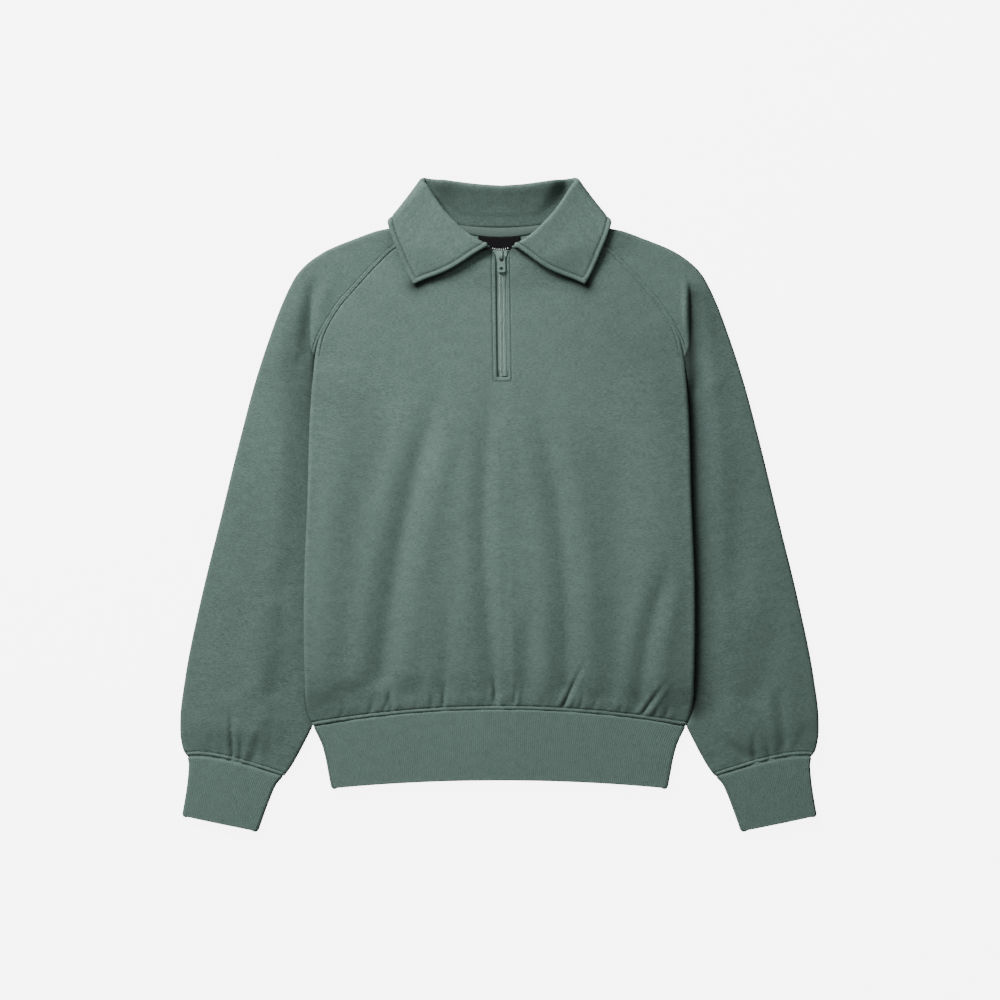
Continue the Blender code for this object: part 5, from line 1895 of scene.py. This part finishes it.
@dataclass
class NeckTrim:
    """Tape over the back neck seam, and the bare woven label under it."""

    lay: Lay
    tape_x: tuple[float, ...] = (0.0, 16.0, 31.0, 44.0, 50.0)
    tape_upper: tuple[float, ...] = (326.6, 327.0, 328.0, 329.4, 330.2)
    tape_lower: tuple[float, ...] = (316.0, 316.8, 318.9, 321.8, 323.4)
    label_x: float = -0.4
    label_half: float = 24.7
    label_height: float = 26.0

    def tape(self) -> Shell:
        """The neck tape, a little fuller along its middle.

        Returns:
            The tape's shell.
        """
        places = np.linspace(-self.tape_x[-1], self.tape_x[-1], 90)
        upper = follow(self.tape_x, self.tape_upper, np.abs(places))
        lower = follow(self.tape_x, self.tape_lower, np.abs(places))
        level = self.lay.back_level + self.lay.collar_lift + 1.6 + 0.8
        rows = []
        for share in np.linspace(0.0, 1.0, 13):
            y = upper + (lower - upper) * share
            sewn = float(bell(share - 0.12, 0.05) + bell(share - 0.88, 0.05))
            crown = 0.3 * math.sin(math.pi * share) - 0.25 * sewn
            rows.append(np.stack([places, y, np.full_like(places, level + crown)], axis=1))
        return Shell("neck_tape_cloth", np.array(rows), 1.0)

    def label(self) -> Shell:
        """The label, a little curled at its lower edge.

        Returns:
            The label's shell.
        """
        places = self.label_x + np.linspace(-self.label_half, self.label_half, 40)
        top = follow(self.tape_x, self.tape_lower, np.abs(places)) - 0.8
        rows = []
        for share in np.linspace(0.0, 1.0, 24):
            y = top - self.label_height * share
            z = self.lay.back_height(places, y) + 0.5 * (self.lay.fleece + 0.8) + 0.8
            rows.append(np.stack([places, y, z + 0.2 * share ** 3], axis=1))
        return Shell("neck_label_cloth", np.array(rows), 0.6)


@dataclass
class Zip:
    """Tapes and nylon coil of the zip, open above the slider."""

    lay: Lay
    body: Body
    top: float = 301.0
    bottom: float = 150.4
    pitch: float = 1.45
    tooth_half: float = 2.1
    tooth_radius: float = 0.66
    tooth_height: float = 0.495
    tooth: tuple = ((1.0, 0.35), (0.82, 0.85), (0.0, 1.0), (-0.82, 0.85), (-1.0, 0.35))
    coil_shift: float = 0.9

    def inner(self, y: Any) -> Any:
        """Distance of a tape's inner edge from the zip's middle line."""
        spread = np.clip((np.asarray(y, float) - (self.top - 7.0)) / 7.0, 0.0, 1.0)
        return 0.2 + 7.5 * spread ** 1.6

    def surface(self, x: Any, y: Any) -> Any:
        """Middle surface of the front beside the zip."""
        return self.lay.front_height(x, y) + self.lay.crowned(y)

    def tape(self, side: int) -> Shell:
        """One tape, raised in the opening and tucked under the front.

        Args:
            side: 1 for the left tape, -1 for the right.

        Returns:
            The tape's shell.
        """
        rows = []
        for y in np.concatenate([np.linspace(self.bottom - 7.0, 288.0, 66),
                                 np.linspace(289.0, 300.0, 16)]):
            inner = float(self.inner(y))
            opened = float(ramp(y, self.bottom - 1.0, self.bottom + 12.0))
            place = np.concatenate([inner - 0.1 + np.linspace(0.0, 6.4, 9),
                                    np.linspace(max(inner + 6.8, 7.0), 14.5, 9)])
            down = ramp(place, 6.2 + 0.3 * inner, 7.9 + 0.3 * inner)
            x = float(self.body.zip_x(y)) + side * place
            z = self.surface(x, y) - 2.3 + 1.45 * opened * (1.0 - down)
            rows.append(np.stack([x, np.full_like(x, y), z], axis=1))
        name = "zip_tape_cloth_left" if side > 0 else "zip_tape_cloth_right"
        return Shell(name, np.array(rows), 0.9)

    def chain(self, side: int) -> bpy.types.Object:
        """Two rows of stitches that hold the coil on one tape.

        Args:
            side: 1 for the left tape, -1 for the right.

        Returns:
            The stitches.
        """
        thread = Thread("chain_left" if side > 0 else "chain_right", radius=0.3, length=1.2,
                        pitch=self.pitch)
        for step in (1.25, 2.75):
            places = np.arange(self.bottom + 1.0, self.top - 16.0, 1.0)
            x = self.body.zip_x(places) + self.coil_shift + side * step
            path = np.stack([x, places, self.surface(x, places) + 0.1], axis=1)
            thread.sew(path, np.tile((0.0, 0.0, 1.0), (len(path), 1)))
        return thread.make()

    def opened_teeth(self) -> bpy.types.Object:
        """Teeth of both parted coils along the edge above the slider.

        Returns:
            The teeth.
        """
        beads = Bead("coil_ends_painted_highlight")
        for side in (-1, 1):
            for step in range(4):
                offset = 1.2 + 2.5 * step
                x = float(self.body.zip_x(self.top)) - 1.2 + side * offset
                y = 300.6 + 0.02 * offset ** 2
                z = float(self.surface(x, y)) + 0.7
                beads.line(((x, y - 0.3, z), (x + side * 0.2, y + 0.5, z)), 0.62)
        return beads.make()

    def coil(self, side: int) -> bpy.types.Object:
        """Coil on one tape: a rounded loop for each tooth.

        Args:
            side: 1 for the left tape, -1 for the right.

        Returns:
            The coil.
        """
        loops = Rods("coil_left" if side > 0 else "coil_right")
        shift = 0.5 * self.pitch if side > 0 else 0.0
        for y in np.arange(self.bottom + 1.5 + shift, self.top - 1.5, self.pitch):
            shift_x = self.coil_shift * float(ramp(y, 296.0, 280.0))
            x = float(self.body.zip_x(y)) + shift_x
            x += side * (float(self.inner(y)) + self.tooth_half - 0.5)
            z = float(self.surface(x, y)) - 0.36
            loops.add([(np.array((x + along * self.tooth_half, y, z)),
                        np.array((0.0, self.tooth_radius * wide, 0.0)),
                        np.array((0.0, 0.0, self.tooth_height * wide)))
                       for along, wide in self.tooth])
        return loops.make()


# ---- sewing ----------------------------------------------------------------------------------


@dataclass
class Sewing:
    """Stitch lines on one piece of finished cloth."""

    thread: Thread
    shell: Shell

    def run(self, rows: Grid, columns: Grid) -> None:
        """Sew along a line, on the side that faces up.

        Args:
            rows: fractional rows of the line's points.
            columns: their fractional columns.
        """
        path = read_grid(self.shell.grid, rows, columns)
        up = read_grid(self.shell.normals(), rows, columns)
        if up[:, 2].mean() < 0.0:
            up = -up
        half = read_grid(self.shell.half()[:, :, None], rows, columns)
        self.thread.sew(path + up * half, up)

    def along_seam(self, inset: Grid, value: float, rows: Grid, backwards: bool = False) -> None:
        """Sew a line at a distance from the seam.

        Args:
            inset: the cloth's distances from the seam.
            value: the line's distance.
            rows: the rows that it runs over.
            backwards: whether the seam is at the last column.
        """
        columns = np.array([passed(inset[row], value, backwards) for row in rows])
        self.run(rows.astype(float), columns)

    def above_band(self, value: float, columns: Grid) -> None:
        """Sew a line at a distance above the last row.

        Args:
            value: the line's distance, along the cloth.
            columns: the columns that it runs over.
        """
        steps = np.linalg.norm(np.diff(self.shell.grid[::-1], axis=0), axis=2)
        above = np.concatenate([np.cumsum(steps, axis=0)[::-1], np.zeros((1, steps.shape[1]))])
        rows = np.array([passed(above[:, column], value, backwards=True) for column in columns])
        self.run(rows, columns.astype(float))


# ---- studio ----------------------------------------------------------------------------------


@dataclass(frozen=True)
class Lamp:
    """Area lamp aimed at the middle of the top."""

    name: str
    place: tuple[float, float, float]
    size: float
    power: float

    def make(self) -> None:
        """Put the lamp in the scene."""
        data = bpy.data.lights.new(self.name, "AREA")
        data.shape = "DISK"
        data.size = self.size
        data.energy = self.power
        made = bpy.data.objects.new(self.name, data)
        bpy.context.collection.objects.link(made)
        made.location = self.place
        away = np.array(self.place)
        tilt = math.atan2(math.hypot(away[0], away[1]), away[2])
        made.rotation_euler = (0.0, tilt, math.atan2(away[1], away[0]))


@dataclass(frozen=True)
class Studio:
    """Pale floor, soft light and the camera straight above."""

    view_width: float = 1.18
    sensor: float = 36.0
    camera_height: float = 2.9
    camera_x: float = 0.0006
    camera_y: float = 0.0053
    lamps: tuple[Lamp, ...] = (
        Lamp("key", (-1.25, 1.9, 1.3), 0.95, 132.0),
        Lamp("fill", (1.6, -1.4, 2.2), 2.4, 6.0),
        Lamp("top", (-0.35, 0.45, 1.6), 1.1, 6.0),
    )
    world: tuple[float, float, float] = (0.62, 0.63, 0.64)
    world_strength: float = 0.12
    floor_half: float = 3000.0
    floor_level: float = -0.5

    def make(self) -> None:
        """Put floor, lamps, world and camera in the scene."""
        corner = ((-1, -1), (1, -1), (1, 1), (-1, 1))
        floor = solid("floor", [(x * self.floor_half, y * self.floor_half, self.floor_level)
                                for x, y in corner], [[0, 1, 2, 3]])
        floor.data.materials.append(FloorFinish().make())
        floor.visible_diffuse = False
        floor.visible_glossy = False
        for lamp in self.lamps:
            lamp.make()
        world = bpy.data.worlds.new("studio")
        world.use_nodes = True
        background = world.node_tree.nodes["Background"]
        background.inputs[0].default_value = (*self.world, 1.0)
        background.inputs[1].default_value = self.world_strength
        bpy.context.scene.world = world
        lens = bpy.data.cameras.new("camera")
        lens.sensor_width = self.sensor
        lens.lens = self.sensor * self.camera_height / self.view_width
        lens.clip_end = 20.0
        camera = bpy.data.objects.new("camera", lens)
        camera.location = (self.camera_x, self.camera_y, self.camera_height + 0.012)
        bpy.context.collection.objects.link(camera)
        bpy.context.scene.camera = camera


# ---- the whole top ---------------------------------------------------------------------------


@dataclass
class Top:
    """All pieces of the top with their finishes."""

    lay: Lay
    fleece: KnitFinish = KnitFinish("brushed_fleece", (0.100, 0.152, 0.132))
    # The sleeves' fleece is the same cloth painted darker, as shade.
    painted_shade_sleeve_fleece: KnitFinish = KnitFinish("painted_shade_sleeve_fleece", (0.088, 0.134, 0.117))
    rib: KnitFinish = KnitFinish("fine_rib", (0.104, 0.158, 0.138), Grain.RIBBED, 0.9)
    tape: WovenFinish = WovenFinish("neck_twill", (0.070, 0.106, 0.093))
    zip_cloth: WovenFinish = WovenFinish("zip_weave", (0.135, 0.205, 0.178))
    label: WovenFinish = WovenFinish("label_satin", (0.006, 0.005, 0.006), 0.35, 0.85, 0.1)
    nylon: ThreadFinish = ThreadFinish("nylon_coil", (0.170, 0.255, 0.222), 0.4)
    # Lighter copy of the coil's nylon: painted highlight on the parted teeth.
    painted_highlight_nylon: ThreadFinish = ThreadFinish("coil_ends_painted_highlight", (0.46, 0.53, 0.50), 0.3)
    thread: ThreadFinish = ThreadFinish("sewing_thread", (0.092, 0.139, 0.121))
    enamel: EnamelFinish = EnamelFinish("slider_enamel", (0.160, 0.245, 0.212))

    def place(self, piece: bpy.types.Object, material: bpy.types.Material, slot: str,
              *nodes: str, body: str = "garment") -> bpy.types.Object:
        """Dress a piece and tie it to the frame.

        Args:
            piece: the piece.
            material: its material.
            slot: the record's material slot; not used.
            nodes: frame nodes that it stands for.
            body: the frame body that it moves with.

        Returns:
            The piece.
        """
        piece.data.materials.append(material)
        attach(piece, body)
        if nodes:
            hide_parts(*nodes)
        LOG.info("%s: %d faces", piece.name, len(piece.data.polygons))
        return piece

    def build(self, frame: dict[str, Any]) -> None:
        """Build every piece.

        Args:
            frame: the loaded frame.
        """
        fleece, rib = self.fleece.make(), self.rib.make()
        thread = self.thread.make()
        body = Body(self.lay)
        front, front_inset = body.panel(front=True)
        back, _ = body.panel(front=False)
        back_piece = self.place(back.make(), fleece, "fleece", "back")
        front_piece = self.place(front.make(), fleece, "fleece", "front")
        stitches = Thread("front_stitches")
        sewing = Sewing(stitches, front)
        for backwards in (False, True):
            sewing.along_seam(front_inset, LINES.line, RAGLAN_ROWS, backwards)
        sewing.above_band(LINES.line, np.arange(10, front.grid.shape[1] - 10))
        self.sew_zip(stitches, body, front)
        front_thread = self.place(stitches.make(), thread, "fleece")
        self.build_sleeves(self.painted_shade_sleeve_fleece.make(), thread)
        self.build_rib(rib)
        self.build_collar(fleece, thread)
        self.build_trim(body)
        self.dress_slider(frame)

    def sew_zip(self, stitches: Thread, body: Body, front: Shell) -> None:
        """Stitch the zip's two sides and its lower end.

        Args:
            stitches: where the stitches go.
            body: the body, which knows the zip's line.
            front: the front panel.
        """
        flat = front.grid.reshape(-1, 3)
        left = [(LINES.left, y) for y in np.linspace(LINES.top, LINES.bottom, 40)]
        bottom = [(x, LINES.bottom) for x in np.linspace(LINES.left, LINES.right, 12)[1:-1]]
        right = [(LINES.right, y) for y in np.linspace(LINES.bottom, LINES.top, 40)]
        path = []
        for offset, y in left + bottom + right:
            x = float(body.zip_x(y)) + offset
            near = np.argsort((flat[:, 0] - x) ** 2 + (flat[:, 1] - y) ** 2)[:4]
            path.append((x, y, float(flat[near, 2].mean()) + 0.5 * self.lay.fleece))
        path = np.array(path)
        stitches.sew(path, np.tile((0.0, 0.0, 1.0), (len(path), 1)))

    def build_sleeves(self, fleece: bpy.types.Material, thread: bpy.types.Material) -> None:
        """Both sleeves with their stitches.

        Args:
            fleece: the sleeves' material, a copy of the fleece painted darker as shade.
            thread: the stitches' material.
        """
        for side, word in ((1, "left"), (-1, "right")):
            shell, inset = Sleeve(self.lay, "sleeve_cloth_" + word, side).shell()
            piece = self.place(shell.make(), fleece, "fleece", "sleeve_" + word)
            stitches = Thread("sleeve_stitches_" + word)
            sewing = Sewing(stitches, shell)
            sewing.along_seam(inset, LINES.line, RAGLAN_ROWS)
            sewing.above_band(LINES.cuff_line, np.arange(8, 60))
            made = self.place(stitches.make(), thread, "fleece")

    def build_rib(self, rib: bpy.types.Material) -> None:
        """Cuffs and hem band.

        Args:
            rib: their material.
        """
        for side, word in ((1, "left"), (-1, "right")):
            piece = self.place(make_cuff(self.lay, "cuff_rib_" + word, side).shell().make(),
                               rib, "rib", "cuff_" + word)
        piece = self.place(make_band(self.lay).shell().make(), rib, "rib", "hem_band")

    def build_collar(self, fleece: bpy.types.Material, thread: bpy.types.Material) -> None:
        """Collar with its topstitching.

        Args:
            fleece: the collar's material.
            thread: the stitches' material.
        """
        collar = Collar(self.lay)
        shell, away = collar.shell()
        piece = self.place(shell.make(), fleece, "fleece", "collar")
        stitches = Thread("collar_stitches")
        rows, columns = collar.stitch_line(away)
        for at in (rows, shell.grid.shape[0] - 1 - rows):
            Sewing(stitches, shell).run(at, columns)
        made = self.place(stitches.make(), thread, "fleece")

    def build_trim(self, body: Body) -> None:
        """Neck tape, label, zip tapes and coil.

        Args:
            body: the body, which knows the zip's line.
        """
        trim = NeckTrim(self.lay)
        tape = self.place(trim.tape().make(), self.tape.make(), "neck_tape", "neck_tape")
        label = self.place(trim.label().make(), self.label.make(), "label", "neck_label")
        zip_parts = Zip(self.lay, body)
        weave, nylon = self.zip_cloth.make(), self.nylon.make()
        for side, word in ((1, "left"), (-1, "right")):
            cloth = self.place(zip_parts.tape(side).make(), weave, "zip_tape", "zip_tape_" + word)
            coil = self.place(zip_parts.coil(side), nylon, "zip_tape")
            chain = self.place(zip_parts.chain(side), nylon, "zip_tape")
        # The parted teeth take the lighter nylon, a painted highlight.
        self.place(zip_parts.opened_teeth(), self.painted_highlight_nylon.make(), "zip_tape")

    def dress_slider(self, frame: dict[str, Any]) -> None:
        """Enamel on the slider and the pull tab of the frame, and near black beads as a painted
        shadow beside the bail.

        Args:
            frame: the loaded frame.
        """
        enamel = self.enamel.make()
        for node in ("slider", "pull_tab"):
            for place in frame["nodes"][node].material_slots:
                place.material = enamel
            LOG.info("%s: enamel", node)
        # Near black beads on the slider and the pull: painted shadow in the gap beside the bail.
        painted_shadow_line = ThreadFinish("painted_shadow_line", (0.004, 0.006, 0.005), 0.95).make()
        for name, body, path in (
                ("slider_painted_shadow", "garment", ((4.2, 298.6, 13.6), (4.2, 295.8, 13.6))),
                ("pull_painted_shadow", "pull", (
                    (4.2, 294.0, 15.6), (4.2, 289.4, 15.4), (3.6, 287.9, 15.3),
                    (2.4, 287.2, 15.3), (1.1, 287.7, 15.3), (0.4, 288.9, 15.4),
                    (0.2, 290.4, 15.5)))):
            bead = Bead(name)
            bead.line(path, 0.7)
            self.place(bead.make(), painted_shadow_line, "zip_metal", body=body)


def main() -> None:
    """Load the frame, build the top and the studio."""
    logging.basicConfig(level=logging.INFO, format="%(name)s: %(message)s")
    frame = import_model()
    Studio().make()
    Top(LAY).build(frame)


if __name__ == "__main__":
    main()
